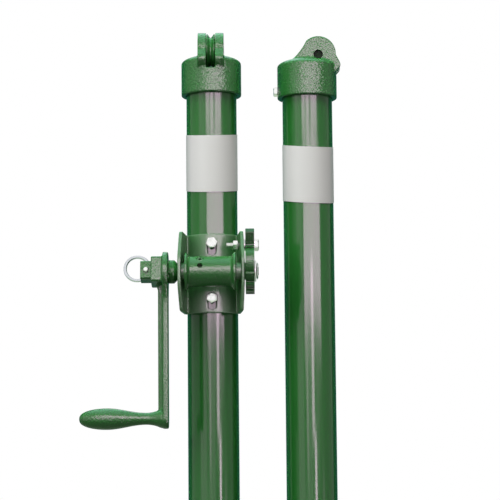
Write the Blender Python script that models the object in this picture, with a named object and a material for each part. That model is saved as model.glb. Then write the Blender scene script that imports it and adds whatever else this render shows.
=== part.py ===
"""A pair of round net posts: one with a crank winch and ratchet, one plain.

Metres, +Z up. The posts stand on z = 0, with the winch on the -Y side. Each post is built about
its own axis, each moving piece about its joint's axis, and the whole pair is centred on the origin.
"""

import math

import bmesh
import bpy
from mathutils import Matrix, Vector

# Posts
POST_SPACING = 0.146
PLAIN_SETBACK = 0.026
TUBE_RADIUS = 0.0381
TUBE_WALL = 0.0032
TUBE_LENGTH = 1.524

# Clearances
FIT_GAP = 0.0003
HOLE_GAP = 0.0003
SIDE_GAP = 0.0008

# Cap and sheave, heights above the cap's lower rim
CAP_WALL = 0.0071
CAP_SIDE_HEIGHT = 0.049
CAP_CROWN_RISE = 0.013
CAP_EDGE = 0.001
CAP_WEB = 0.0035
AXLE_HEIGHT = 0.066
AXLE_REACH = 0.0174
AXLE_RADIUS = 0.0069
AXLE_EDGE = 0.0008
AXLE_RECESS = 0.0035
EAR_THICKNESS = 0.0125
EAR_RADIUS = 0.027
EAR_RISE = 0.0015
LIP_OVERHANG = 0.0058
LIP_HEIGHT = 0.0495
SHEAVE_RADIUS = 0.027
SHEAVE_WIDTH = 0.0124
GROOVE_DEPTH = 0.0058
GROOVE_FLOOR = 0.0048
SHEAVE_RIM = 0.0014
SHEAVE_HUB_RADIUS = 0.0125
SHEAVE_RECESS = 0.0014
SLOT_CLEARANCE = 0.0025
POCKET_REACH = 0.03
EAR_BITE = 0.004
EAR_SWEEP = 0.0115
EAR_SWEEP_RISE = 0.011
EAR_FOOT_RISE = 0.004
EAR_BEVEL = 0.0014
LIP_DEPTH = 0.012
LIP_THROAT = 0.0012
LIP_ROUND = 0.0028
CAP_SCREW_HEIGHT = 0.0117
CAP_SCREW_RADIUS = 0.004
CAP_SCREW_FLATS = 0.013
CAP_SCREW_HEAD = 0.0058
CAP_SCREW_INSIDE = 0.004

# Label bands, distances below the cap's lower rim
BAND_HEIGHT = 0.086
BAND_THICKNESS = 0.0005
BAND_SEAM = 0.002
WINCH_BAND_DROP = 0.059
PLAIN_BAND_DROP = 0.073
BAND_DIP = 11.0
PLAIN_BAND_TILT = 3.0

# Winch bracket
WINCH_DROP = 0.275
BRACKET_HEIGHT = 0.118
PLATE = 0.005
SADDLE_REAR_DEPTH = 0.016
FLANGE_FLARE = 5.9
FLANGE_FRONT_MARGIN = 0.018
FLANGE_TOP_SETBACK = 0.002
FLANGE_BOTTOM_SETBACK = 0.005
SLOT_WIDTH = 0.0132
SLOT_LENGTH = 0.025
UPPER_SLOT_MARGIN = 0.020
LOWER_SLOT_MARGIN = 0.0165
FLANGE_CORNER = 0.009
SWELL_TOP = 0.018
SWELL_BOTTOM = 0.022
SWELL_RADIUS = 0.04
PLATE_ROUND = 0.003
BRACKET_BOLT_RADIUS = 0.005
BRACKET_BOLT_FLATS = 0.0148
BRACKET_BOLT_HEAD = 0.0064
BRACKET_NUT_RADIUS = 0.0085
BRACKET_NUT_LENGTH = 0.008
BRACKET_BOLT_PAST_NUT = 0.003

# Drum and shaft
DRUM_LENGTH = 0.0748
DRUM_LEFT_PLAY = 0.001
DRUM_RIGHT_PLAY = 0.0038
DRUM_AXIS_DROP = 0.0015
BARREL_RADIUS = 0.0225
DRUM_FLANGE_RADIUS = 0.028
DRUM_FLANGE_RIM = 0.0035
DRUM_FLANGE_ROOT = 0.0062
CABLE_SPACE = 0.008
SHAFT_RADIUS = 0.0095
BUSH_WALL = 0.003
COLLAR_RADIUS = 0.0173
COLLAR_LENGTH = 0.0125
COLLAR_BEVEL = 0.004
CLAMP_SETBACK = 0.0225
CABLE_HOLE_RADIUS = 0.0035
CABLE_HOLE_ANGLE = 18.0
SET_SCREW_RADIUS = 0.0047
SET_SCREW_SOCKET = 0.0052
SET_SCREW_ANGLE = 50.0
CLAMP_FLOOR_RADIUS = 0.0122

# Ratchet and pawl, angles about the drum axis from straight up towards the front
RATCHET_TEETH = 12
RATCHET_RADIUS = 0.034
TOOTH_DEPTH = 0.0065
TOOTH_LAND = 3.0
TOOTH_ANGLE = 10.0
RATCHET_WIDTH = 0.013
SEAT_HALF_WIDTH = 0.0075
PAWL_BOSS_RADIUS = 0.0088
PAWL_CLEARANCE = 0.0032
PAWL_PIVOT_ANGLE = -26.0
PAWL_FRONT = 0.030
PAWL_TOP = 0.0215
NOSE_GAP = 0.0012
PAWL_BOLT_RADIUS = 0.004
PAWL_BOLT_FLATS = 0.016
PAWL_BOLT_HEAD = 0.0064
PAWL_BOLT_PAST_NUT = 0.0095
PAWL_NUT_FLATS = 0.0125
PAWL_NUT_LENGTH = 0.008
PAWL_SPACER_RADIUS = 0.009
END_WASHER_RADIUS = 0.0155
END_WASHER_THICKNESS = 0.002
END_NUT_FLATS = 0.024
END_NUT_THICKNESS = 0.003
END_THREAD_RADIUS = 0.0068
END_THREAD_PAST_NUT = 0.0005

# Crank and linchpin
CRANK_THROW = 0.215
CRANK_PLATE = 0.0083
CRANK_HEAD_RADIUS = 0.0295
CRANK_ARM_HALF_WIDTH = 0.0135
CRANK_END_RADIUS = 0.0150
BOSS_SQUARE = 0.0385
BOSS_CORNER = 0.003
BOSS_LENGTH = 0.0167
SHAFT_SQUARE = 0.027
SHAFT_CORNER = 0.0022
SHAFT_STICKOUT = 0.0157
SQUARE_TURN = 10.0
RIB_WIDTH = 0.008
RIB_HEIGHT = 0.0072
GRIP_LENGTH = 0.1225
GRIP_RADIUS = 0.0157
GRIP_NECK_RADIUS = 0.0088
LINCHPIN_RADIUS = 0.0036
LINCHPIN_SETBACK = 0.0085
LINCHPIN_TIP = 0.0032
LINCHPIN_HEAD_RADIUS = 0.0064
LINCHPIN_HEAD_LENGTH = 0.0105
RING_RADIUS = 0.0181
RING_WIRE = 0.0024
RING_TURN = 37.0
RING_HOLE_GAP = 0.0014

# Facets round each turned piece
TUBE_SIDES = 48
DRUM_SIDES = 36
SHEAVE_SIDES = 28
GRIP_SIDES = 28
SMALL_SIDES = 20

# Worked out from the sizes above
CAP_RADIUS = TUBE_RADIUS + FIT_GAP + CAP_WALL
SLOT_FLOOR = AXLE_HEIGHT - SHEAVE_RADIUS - SLOT_CLEARANCE
SOCKET_DEPTH = SLOT_FLOOR - CAP_WEB
RIM_HEIGHT = TUBE_LENGTH + FIT_GAP - SOCKET_DEPTH
EAR_GAP = SHEAVE_WIDTH + 2 * SIDE_GAP
EAR_SPAN = EAR_GAP + 2 * EAR_THICKNESS
UPPER_SLOT_HEIGHT = BRACKET_HEIGHT / 2 - UPPER_SLOT_MARGIN
LOWER_SLOT_HEIGHT = LOWER_SLOT_MARGIN - BRACKET_HEIGHT / 2
WINCH_HEIGHT = RIM_HEIGHT - WINCH_DROP
SADDLE_INNER = TUBE_RADIUS + FIT_GAP
SADDLE_OUTER = SADDLE_INNER + PLATE
AXIS_DEPTH = SADDLE_OUTER + CABLE_SPACE + BARREL_RADIUS
FLANGE_REACH = AXIS_DEPTH + FLANGE_FRONT_MARGIN
DRUM_REAR_DEPTH = AXIS_DEPTH - DRUM_FLANGE_RADIUS
FLARE_SLOPE = math.tan(math.radians(FLANGE_FLARE))
PIVOT_RADIUS = RATCHET_RADIUS + PAWL_CLEARANCE + PAWL_BOSS_RADIUS
TOOTH_PITCH = 360.0 / RATCHET_TEETH
MESHED = 1e-7
BEYOND = 3 * TUBE_RADIUS

# Turns about Z from the front (-Y)
BACK = 180
LEFT = -90


def flange_inner(depth):
    """Distance of a flange's inner face from the middle, at a depth in front of the post's axis."""
    half_space = (DRUM_LENGTH + DRUM_LEFT_PLAY + DRUM_RIGHT_PLAY) / 2
    return half_space + FLARE_SLOPE * (depth - DRUM_REAR_DEPTH)


def flange_outer(depth):
    """Distance of a flange's outer face from the middle."""
    return flange_inner(depth) + PLATE / math.cos(math.radians(FLANGE_FLARE))


# Positions along the drum axis
DRUM_LEFT = DRUM_LEFT_PLAY - flange_inner(DRUM_REAR_DEPTH)
DRUM_RIGHT = DRUM_LEFT + DRUM_LENGTH
SIDE_FACE = flange_outer(FLANGE_REACH) + SIDE_GAP
COLLAR_LEFT = -SIDE_FACE - COLLAR_LENGTH
PLATE_RIGHT = COLLAR_LEFT - FIT_GAP
PLATE_LEFT = PLATE_RIGHT - CRANK_PLATE
BOSS_LEFT = PLATE_LEFT - BOSS_LENGTH
SHAFT_LEFT = BOSS_LEFT - SHAFT_STICKOUT
WHEEL_RIGHT = SIDE_FACE + RATCHET_WIDTH
WASHER_LEFT = WHEEL_RIGHT + FIT_GAP
NUT_LEFT = WASHER_LEFT + END_WASHER_THICKNESS + FIT_GAP
SHAFT_RIGHT = NUT_LEFT + END_NUT_THICKNESS + END_THREAD_PAST_NUT
CLAMP_X = DRUM_LEFT + CLAMP_SETBACK


# Small geometry helpers
def circle_point(radius, degrees):
    """Point on a circle, counted from the first axis towards the second."""
    angle = math.radians(degrees)
    return Vector((radius * math.cos(angle), radius * math.sin(angle)))


def wheel_point(radius, degrees):
    """Point (y, z) about the drum axis, at an angle from straight up towards the front."""
    angle = math.radians(degrees)
    return Vector((-radius * math.sin(angle), radius * math.cos(angle)))


def arc(centre, radius, start, end, steps):
    """Points on a circle from one angle to another, in degrees."""
    turn = (end - start) / steps
    return [Vector(centre) + circle_point(radius, start + turn * i) for i in range(steps + 1)]


def rounded(corners, steps=4):
    """Outline through (a, b, radius) corners, each rounded by an arc of its radius."""
    outline = []
    for i, (a, b, radius) in enumerate(corners):
        here = Vector((a, b))
        if radius <= 0:
            outline.append(here)
            continue
        back = Vector(corners[i - 1][:2]) - here
        ahead = Vector(corners[(i + 1) % len(corners)][:2]) - here
        half = back.angle(ahead) / 2
        reach = min(radius / math.tan(half), 0.48 * back.length, 0.48 * ahead.length)
        middle = here + (back.normalized() + ahead.normalized()).normalized() * reach / math.cos(half)
        first = here + back.normalized() * reach - middle
        last = here + ahead.normalized() * reach - middle
        start = math.atan2(first.y, first.x)
        sweep = (math.atan2(last.y, last.x) - start + math.pi) % (2 * math.pi) - math.pi
        for step in range(steps + 1):
            angle = math.degrees(start + sweep * step / steps)
            outline.append(middle + circle_point(first.length, angle))
    return outline


def square(side, corner):
    """Square outline with rounded corners."""
    half = side / 2
    return rounded([(half, half, corner), (-half, half, corner), (-half, -half, corner), (half, -half, corner)])


def hexagon(flats):
    """Hexagon outline from its width across flats."""
    return [circle_point(flats / math.sqrt(3), 60 * i) for i in range(6)]


AXES = {
    "X": Matrix(((0, 0, 1), (1, 0, 0), (0, 1, 0))),
    "Y": Matrix(((1, 0, 0), (0, 0, 1), (0, 1, 0))),
    "Z": Matrix.Identity(3),
}


def finish_mesh(name, mesh_data, along):
    """New object from a bmesh drawn along Z, turned so that it runs along the named axis."""
    bmesh.ops.transform(mesh_data, matrix=AXES[along].to_4x4(), verts=mesh_data.verts)
    bmesh.ops.recalc_face_normals(mesh_data, faces=mesh_data.faces)
    mesh = bpy.data.meshes.new(name)
    mesh_data.to_mesh(mesh)
    mesh_data.free()
    obj = bpy.data.objects.new(name, mesh)
    bpy.context.scene.collection.objects.link(obj)
    return obj


def prism(name, outline, low, high, along="Z"):
    """Outline extruded along an axis. It lies in the (y, z), (x, z) or (x, y) plane."""
    mesh_data = bmesh.new()
    outline = [here for here, last in zip(outline, [outline[-1], *outline]) if (here - last).length > MESHED]
    face = mesh_data.faces.new([mesh_data.verts.new((a, b, low)) for a, b in outline])
    top = bmesh.ops.extrude_face_region(mesh_data, geom=[face])["geom"]
    moved = [item for item in top if isinstance(item, bmesh.types.BMVert)]
    bmesh.ops.translate(mesh_data, verts=moved, vec=(0, 0, high - low))
    return finish_mesh(name, mesh_data, along)


def turned(name, profile, sides, along="Z", ring=False):
    """Profile of (place along the axis, radius) points turned about the axis.

    An open profile is closed to the axis at both ends. A ring's profile closes on itself.
    """
    if not ring:
        profile = [(profile[0][0], 0.0), *profile, (profile[-1][0], 0.0)]
    mesh_data = bmesh.new()
    loops = []
    for place, radius in profile:
        count = 1 if radius < MESHED else sides
        points = [circle_point(radius, 360.0 * i / sides) for i in range(count)]
        loops.append([mesh_data.verts.new((a, b, place)) for a, b in points])
    pairs = list(zip(loops, loops[1:]))
    if ring:
        pairs.append((loops[-1], loops[0]))
    for low, high in pairs:
        for i in range(sides):
            j = (i + 1) % sides
            corners = [low[i % len(low)], low[j % len(low)], high[j % len(high)], high[i % len(high)]]
            kept = list(dict.fromkeys(corners))
            if len(kept) > 2:
                mesh_data.faces.new(kept)
    return finish_mesh(name, mesh_data, along)


def moved(obj, offset=(0, 0, 0), turn_x=0.0):
    """Moves and turns the mesh itself, not the object."""
    obj.data.transform(Matrix.Translation(offset) @ Matrix.Rotation(math.radians(turn_x), 4, "X"))
    return obj


def combine(base, tool, operation):
    """Joins, cuts or intersects two solids, and removes the second."""
    modifier = base.modifiers.new("solid", "BOOLEAN")
    modifier.operation = operation
    modifier.object = tool
    modifier.solver = "EXACT"
    graph = bpy.context.evaluated_depsgraph_get()
    result = bpy.data.meshes.new_from_object(base.evaluated_get(graph))
    base.modifiers.remove(modifier)
    old = base.data
    base.data = result
    bpy.data.meshes.remove(old)
    bpy.data.objects.remove(tool)
    return base


def cut(base, *tools):
    for tool in tools:
        combine(base, tool, "DIFFERENCE")
    return base


def join(base, *tools):
    for tool in tools:
        combine(base, tool, "UNION")
    return base


def soften(obj, width):
    """Breaks the sharp edges of a cast or cut piece."""
    modifier = obj.modifiers.new("edge", "BEVEL")
    modifier.width = width
    modifier.segments = 1
    modifier.limit_method = "ANGLE"
    modifier.angle_limit = math.radians(40)
    graph = bpy.context.evaluated_depsgraph_get()
    result = bpy.data.meshes.new_from_object(obj.evaluated_get(graph))
    obj.modifiers.remove(modifier)
    obj.data = result
    return obj


def frame_at(name, parent, location, turn_x=0.0, turn_z=0.0):
    """Empty that carries pieces built about one axis."""
    empty = bpy.data.objects.new(name, None)
    bpy.context.scene.collection.objects.link(empty)
    empty.parent = parent
    empty.location = location
    empty.rotation_euler = (math.radians(turn_x), 0, math.radians(turn_z))
    return empty


def place(obj, material, parent, location=(0, 0, 0)):
    """Gives a finished piece its material and puts it on its parent."""
    obj.data.materials.clear()
    obj.data.materials.append(material)
    if obj.type == "MESH":
        obj.data.shade_smooth()
        obj.data.set_sharp_from_angle(angle=math.radians(30))
    obj.parent = parent
    obj.location = location
    return obj


def hex_bolt(name, flats, head, radius, length):
    """Hex bolt along +Z: head above z = 0, shank below."""
    shank = turned("shank", [(-length, radius), (head / 2, radius)], SMALL_SIDES)
    return join(prism(name, hexagon(flats), 0, head), shank)


def make_material(name, colour, roughness, metallic):
    material = bpy.data.materials.new(name)
    material.use_nodes = True
    shader = material.node_tree.nodes["Principled BSDF"]
    shader.inputs["Base Color"].default_value = (*colour, 1)
    shader.inputs["Roughness"].default_value = roughness
    shader.inputs["Metallic"].default_value = metallic
    return material


# Post tubes and bands
def tube_hole(radius, height, turn):
    """Tool through the front wall of a tube (-Y), turned about Z to another side."""
    profile = [(-CAP_RADIUS, radius), (-TUBE_RADIUS / 2, radius)]
    tool = turned("hole", profile, SMALL_SIDES, along="Y")
    tool.data.transform(Matrix.Translation((0, 0, height)) @ Matrix.Rotation(math.radians(turn), 4, "Z"))
    return tool


def make_tube(name, material, parent, screw_side, bolt_places=()):
    """Open tube with holes for its cap screw and for the bracket's bolts."""
    inner = TUBE_RADIUS - TUBE_WALL
    profile = [(0, inner), (0, TUBE_RADIUS), (TUBE_LENGTH, TUBE_RADIUS), (TUBE_LENGTH, inner)]
    tube = turned(name, profile, TUBE_SIDES, ring=True)
    cut(tube, tube_hole(CAP_SCREW_RADIUS + HOLE_GAP, RIM_HEIGHT + CAP_SCREW_HEIGHT, screw_side))
    for height in bolt_places:
        cut(tube, tube_hole(BRACKET_BOLT_RADIUS + HOLE_GAP, WINCH_HEIGHT + height, 0))
    return place(tube, material, parent)


def make_band(name, material, parent, drop, tilt):
    """Thin band stuck round the tube, lower at the front, with its seam at the back."""
    inner = TUBE_RADIUS + FIT_GAP
    half_seam = math.degrees(BAND_SEAM / 2 / inner)
    start, end = 90 + half_seam, 450 - half_seam
    outline = arc((0, 0), inner, start, end, TUBE_SIDES)
    outline += reversed(arc((0, 0), inner + BAND_THICKNESS, start, end, TUBE_SIDES))
    top = RIM_HEIGHT - drop
    band = prism(name, outline, top - BAND_HEIGHT, top)
    for vertex in band.data.vertices:
        vertex.co.z += vertex.co.y * math.tan(math.radians(BAND_DIP)) - vertex.co.x * math.tan(math.radians(tilt))
    return place(band, material, parent)


# Cap, sheave and axle, built with the ears reaching towards +X and the axle along Y
def ear_outline():
    """Side view (x, z) of an ear: a lobe round the axle, a lip past the cap's side and a swept back."""
    lobe = (AXLE_REACH, AXLE_HEIGHT + EAR_RISE)
    lip = CAP_RADIUS + LIP_OVERHANG
    base = LIP_HEIGHT - LIP_DEPTH
    front = [(CAP_RADIUS - EAR_BITE, base), (CAP_RADIUS + LIP_THROAT, LIP_HEIGHT - LIP_DEPTH * 0.6)]
    front += [(lip - LIP_ROUND * 0.3, LIP_HEIGHT - LIP_ROUND), (lip, LIP_HEIGHT + LIP_ROUND * 0.35)]
    front.append((lip - LIP_ROUND * 0.65, LIP_HEIGHT + LIP_ROUND * 2.3))
    crown = arc(lobe, EAR_RADIUS, -4, 132, 16)
    foot = Vector((-CAP_RADIUS * 0.68, CAP_SIDE_HEIGHT + EAR_FOOT_RISE))
    top = crown[-1]
    middle = Vector((top.x - EAR_SWEEP, foot.y + EAR_SWEEP_RISE))
    sweep = []
    for step in range(1, 6):
        t = step / 5
        sweep.append(top * (1 - t) ** 2 + middle * 2 * t * (1 - t) + foot * t ** 2)
    return [Vector(point) for point in front] + crown + sweep + [Vector((foot.x, base))]


def sheave_pocket():
    """Side view (x, z) of the slot that the sheave turns in, open to the front and the top."""
    clear = SHEAVE_RADIUS + SLOT_CLEARANCE
    centre = (AXLE_REACH, AXLE_HEIGHT)
    far = CAP_RADIUS + POCKET_REACH
    top = AXLE_HEIGHT + 2 * SHEAVE_RADIUS
    back = arc(centre, clear, 270, 180, 10)
    return [Vector((far, SLOT_FLOOR)), *back, Vector((AXLE_REACH - clear, top)), Vector((far, top))]


def make_cap(name, material, parent):
    """Cast cap: socket for the tube, domed crown, and two ears either side of the sheave."""
    socket = TUBE_RADIUS + FIT_GAP
    profile = [(SOCKET_DEPTH, socket), (0, socket), (0, CAP_RADIUS - CAP_EDGE), (CAP_EDGE, CAP_RADIUS)]
    for step in range(7):
        dome = circle_point(1, 14 * step)
        profile.append((CAP_SIDE_HEIGHT + CAP_CROWN_RISE * dome.y, CAP_RADIUS * dome.x))
    body = turned(name, profile, TUBE_SIDES)
    join(body, soften(prism("ears", ear_outline(), -EAR_SPAN / 2, EAR_SPAN / 2, "Y"), EAR_BEVEL))
    pocket = prism("pocket", sheave_pocket(), -EAR_GAP / 2, EAR_GAP / 2, "Y")
    bore = turned("bore", [(-EAR_SPAN, AXLE_RADIUS + HOLE_GAP), (EAR_SPAN, AXLE_RADIUS + HOLE_GAP)], SMALL_SIDES, "Y")
    moved(bore, (AXLE_REACH, 0, AXLE_HEIGHT))
    hole = turned("hole", [(-2 * CAP_RADIUS, CAP_SCREW_RADIUS + HOLE_GAP), (-CAP_RADIUS / 2, CAP_SCREW_RADIUS + HOLE_GAP)],
                  SMALL_SIDES, "X")
    cut(body, pocket, bore, moved(hole, (0, 0, CAP_SCREW_HEIGHT)))
    return place(body, material, parent)


def make_sheave(name, material, parent):
    """Grooved sheave with a hub and recessed sides, turned about Y."""
    half = SHEAVE_WIDTH / 2
    mouth = half - SHEAVE_RIM
    floor = SHEAVE_RADIUS - GROOVE_DEPTH
    bore = AXLE_RADIUS + HOLE_GAP
    web = half - SHEAVE_RECESS
    right = [(GROOVE_FLOOR / 2, floor), (mouth, SHEAVE_RADIUS), (half, SHEAVE_RADIUS - SHEAVE_RIM / 2)]
    right += [(half, floor), (web, floor - SHEAVE_RECESS), (web, SHEAVE_HUB_RADIUS + SHEAVE_RECESS)]
    right += [(half, SHEAVE_HUB_RADIUS), (half, bore)]
    left = [(-place_along, radius) for place_along, radius in reversed(right)]
    sheave = turned(name, right + left, SHEAVE_SIDES, "Y", ring=True)
    return place(sheave, material, parent, (AXLE_REACH, 0, AXLE_HEIGHT))


def make_axle(name, material, parent):
    """Plain pin pressed through both ears, its ends sunk in their holes."""
    end = EAR_SPAN / 2 - AXLE_RECESS
    narrow = AXLE_RADIUS - AXLE_EDGE
    profile = [(-end, narrow), (AXLE_EDGE - end, AXLE_RADIUS), (end - AXLE_EDGE, AXLE_RADIUS), (end, narrow)]
    return place(turned(name, profile, SMALL_SIDES, "Y"), material, parent, (AXLE_REACH, 0, AXLE_HEIGHT))


def make_cap_screw(name, material, parent):
    """Hex screw at the side away from the ears."""
    length = CAP_RADIUS + FIT_GAP - (TUBE_RADIUS - TUBE_WALL) + CAP_SCREW_INSIDE
    screw = hex_bolt(name, CAP_SCREW_FLATS, CAP_SCREW_HEAD, CAP_SCREW_RADIUS, length)
    screw.data.transform(Matrix.Rotation(math.radians(-90), 4, "Y"))
    return place(screw, material, parent, (-CAP_RADIUS - FIT_GAP, 0, CAP_SCREW_HEIGHT))


def make_top(post, paint, zinc, parent, facing):
    """Everything on a post's top end, turned to face one way."""
    frame = frame_at(post + "_top", parent, (0, 0, RIM_HEIGHT), turn_z=facing)
    make_cap(post + "_cap", paint, frame)
    make_sheave(post + "_sheave", paint, frame)
    make_axle(post + "_axle", paint, frame)
    make_cap_screw(post + "_cap_screw", zinc, frame)


# Winch bracket and its bolts, about the post's axis at the bracket's middle height
def bolt_heights():
    """Heights of the two bolts, each near the upper end of its slot."""
    rise = SLOT_LENGTH / 2 - SLOT_WIDTH / 2
    return [UPPER_SLOT_HEIGHT + rise, LOWER_SLOT_HEIGHT + rise]


def bracket_section():
    """Plan view (x, y) of the saddle and its two flanges, as one bent plate."""
    slope = FLARE_SLOPE
    base = flange_inner(0)
    root = base * base * slope * slope - (1 + slope * slope) * (base * base - SADDLE_OUTER ** 2)
    meet_depth = max((math.sqrt(max(root, 0)) - base * slope) / (1 + slope * slope), SADDLE_REAR_DEPTH + PLATE)
    meet = math.degrees(math.acos(meet_depth / SADDLE_OUTER))
    wrap = math.degrees(math.acos(SADDLE_REAR_DEPTH / SADDLE_INNER))
    front = FLANGE_REACH + PLATE
    bend = SADDLE_REAR_DEPTH
    half = [Vector((flange_inner(meet_depth), -meet_depth)), Vector((flange_inner(front), -front))]
    half += [Vector((flange_outer(front), -front)), Vector((flange_outer(bend + PLATE_ROUND), -bend - PLATE_ROUND))]
    half.append(Vector((flange_outer(bend) - PLATE_ROUND, -bend)))
    outline = arc((0, 0), SADDLE_INNER, -90 + wrap, -90 - wrap, 20)
    outline += [Vector((-point.x, point.y)) for point in reversed(half)]
    return outline + arc((0, 0), SADDLE_OUTER, -90 - meet, -90 + meet, 18) + half


def bracket_side():
    """Side view (y, z) that the plate is cut to: rounded corners and a front that swells at the shaft."""
    half = BRACKET_HEIGHT / 2
    top = -(AXIS_DEPTH - FLANGE_TOP_SETBACK)
    bottom = -(AXIS_DEPTH - FLANGE_BOTTOM_SETBACK)
    back = -SADDLE_REAR_DEPTH / 2
    corners = [(back, half, 0), (top, half, FLANGE_CORNER), (-FLANGE_REACH, SWELL_TOP, SWELL_RADIUS)]
    corners += [(-FLANGE_REACH, -SWELL_BOTTOM, SWELL_RADIUS), (bottom, -half, FLANGE_CORNER), (back, -half, 0)]
    return rounded(corners, 5)


def slot_outline(height):
    """Front view (x, z) of a bolt slot with round ends."""
    radius = SLOT_WIDTH / 2
    reach = SLOT_LENGTH / 2 - radius
    return arc((0, height + reach), radius, 0, 180, 8) + arc((0, height - reach), radius, 180, 360, 8)


def make_bracket(material, parent):
    """Saddle plate with slots for its bolts and holes for the bushes and the pawl's bolt."""
    bracket = prism("winch_bracket", bracket_section(), -BRACKET_HEIGHT, BRACKET_HEIGHT)
    combine(bracket, prism("side", bracket_side(), -BEYOND, BEYOND, "X"), "INTERSECT")
    for height in (UPPER_SLOT_HEIGHT, LOWER_SLOT_HEIGHT):
        cut(bracket, prism("slot", slot_outline(height), -AXIS_DEPTH, -SADDLE_INNER / 2, "Y"))
    radius = SHAFT_RADIUS + FIT_GAP + BUSH_WALL + FIT_GAP
    holes = turned("holes", [(-BEYOND, radius), (BEYOND, radius)], DRUM_SIDES, "X")
    cut(bracket, moved(holes, (0, -AXIS_DEPTH, -DRUM_AXIS_DROP)))
    pivot = pawl_pivot()
    radius = PAWL_BOLT_RADIUS + HOLE_GAP
    hole = turned("hole", [(DRUM_RIGHT * 0.8, radius), (BEYOND, radius)], SMALL_SIDES, "X")
    cut(bracket, moved(hole, (0, pivot.y, pivot.z)))
    return place(bracket, material, parent)


def make_bracket_bolt(name, height, material, parent):
    """Bolt through the saddle and the tube wall."""
    length = SADDLE_OUTER + FIT_GAP - bracket_nut_front() + BRACKET_NUT_LENGTH + BRACKET_BOLT_PAST_NUT
    bolt = hex_bolt(name, BRACKET_BOLT_FLATS, BRACKET_BOLT_HEAD, BRACKET_BOLT_RADIUS, length)
    bolt.data.transform(Matrix.Rotation(math.radians(90), 4, "X"))
    return place(bolt, material, parent, (0, -SADDLE_OUTER - FIT_GAP, height))


def bracket_nut_front():
    """Depth of the inner nuts' front face, just behind the tube's inner wall."""
    inner = TUBE_RADIUS - TUBE_WALL
    return math.sqrt(inner ** 2 - BRACKET_NUT_RADIUS ** 2) - FIT_GAP


def make_bracket_nut(name, height, material, parent):
    """Round nut inside the tube."""
    front = -bracket_nut_front()
    back = front + BRACKET_NUT_LENGTH
    bore = BRACKET_BOLT_RADIUS + HOLE_GAP
    profile = [(front, bore), (front, BRACKET_NUT_RADIUS), (back, BRACKET_NUT_RADIUS), (back, bore)]
    return place(turned(name, profile, SMALL_SIDES, "Y", ring=True), material, parent, (0, 0, height))


# Drum, shaft, bushes and ratchet wheel, about the drum axis
def radial_tool(name, outline, low, high, along_axis, angle):
    """Tool that points out from the drum axis, at an angle above straight forward."""
    tool = prism(name, outline, low, high)
    return moved(tool, (along_axis, 0, 0), turn_x=90 - angle)


def make_drum(material, parent):
    """Barrel between two tapered end flanges, with a cable hole and a clamp screw hole."""
    bore = SHAFT_RADIUS + FIT_GAP
    left = [(DRUM_LEFT, bore), (DRUM_LEFT, DRUM_FLANGE_RADIUS - 0.0008), (DRUM_LEFT + 0.0008, DRUM_FLANGE_RADIUS)]
    left += [(DRUM_LEFT + DRUM_FLANGE_RIM, DRUM_FLANGE_RADIUS), (DRUM_LEFT + DRUM_FLANGE_ROOT, BARREL_RADIUS)]
    middle = DRUM_LEFT + DRUM_RIGHT
    right = [(middle - along, radius) for along, radius in reversed(left)]
    drum = turned("drum", left + right, DRUM_SIDES, "X", ring=True)
    for radius, angle in ((CABLE_HOLE_RADIUS, CABLE_HOLE_ANGLE), (SET_SCREW_RADIUS + HOLE_GAP, SET_SCREW_ANGLE)):
        outline = [circle_point(radius, 360 * i / 16) for i in range(16)]
        cut(drum, radial_tool("hole", outline, CLAMP_FLOOR_RADIUS, DRUM_FLANGE_RADIUS, CLAMP_X, angle))
    return place(drum, material, parent)


def make_set_screw(material, parent):
    """Socket screw flush with the barrel."""
    outline = [circle_point(SET_SCREW_RADIUS, 360 * i / 16) for i in range(16)]
    top = BARREL_RADIUS - 0.0008
    screw = radial_tool("drum_set_screw", outline, CLAMP_FLOOR_RADIUS + FIT_GAP, top, CLAMP_X, SET_SCREW_ANGLE)
    socket = radial_tool("socket", hexagon(SET_SCREW_SOCKET), top - 0.004, top + 0.01, CLAMP_X, SET_SCREW_ANGLE)
    return place(cut(screw, socket), material, parent)


def make_shaft(material, parent):
    """Shaft with a square end for the crank, a collar, two flats for the wheel and a threaded end."""
    bevel = COLLAR_RADIUS - COLLAR_BEVEL
    profile = [(COLLAR_LEFT, COLLAR_RADIUS - 0.001), (COLLAR_LEFT + 0.001, COLLAR_RADIUS)]
    profile += [(-SIDE_FACE - COLLAR_BEVEL, COLLAR_RADIUS), (-SIDE_FACE, bevel), (-SIDE_FACE, SHAFT_RADIUS)]
    profile += [(WHEEL_RIGHT, SHAFT_RADIUS), (WHEEL_RIGHT, END_THREAD_RADIUS), (SHAFT_RIGHT, END_THREAD_RADIUS)]
    shaft = turned("drum_shaft", profile, DRUM_SIDES, "X")
    end = soften(prism("end", square(SHAFT_SQUARE, SHAFT_CORNER), SHAFT_LEFT, COLLAR_LEFT + 0.0012, "X"), 0.0008)
    join(shaft, moved(end, turn_x=-SQUARE_TURN))
    for side in (-1, 1):
        near, far = side * SEAT_HALF_WIDTH, side * SHAFT_RADIUS * 2
        flat = [Vector((near, -far)), Vector((far, -far)), Vector((far, far)), Vector((near, far))]
        cut(shaft, prism("flat", flat, SIDE_FACE, SHAFT_RIGHT + BEYOND, "X"))
    radius = LINCHPIN_RADIUS + HOLE_GAP
    hole = turned("hole", [(-SHAFT_SQUARE, radius), (SHAFT_SQUARE, radius)], SMALL_SIDES, "Y")
    cut(shaft, moved(hole, (SHAFT_LEFT + LINCHPIN_SETBACK, 0, 0), turn_x=-SQUARE_TURN))
    return place(shaft, material, parent)


def make_bush(name, low, high, material, parent):
    """Plain bush in one flange, round the shaft."""
    bore = SHAFT_RADIUS + FIT_GAP
    outer = bore + BUSH_WALL
    profile = [(low, bore), (low, outer), (high, outer), (high, bore)]
    return place(turned(name, profile, DRUM_SIDES, "X", ring=True), material, parent)


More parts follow.
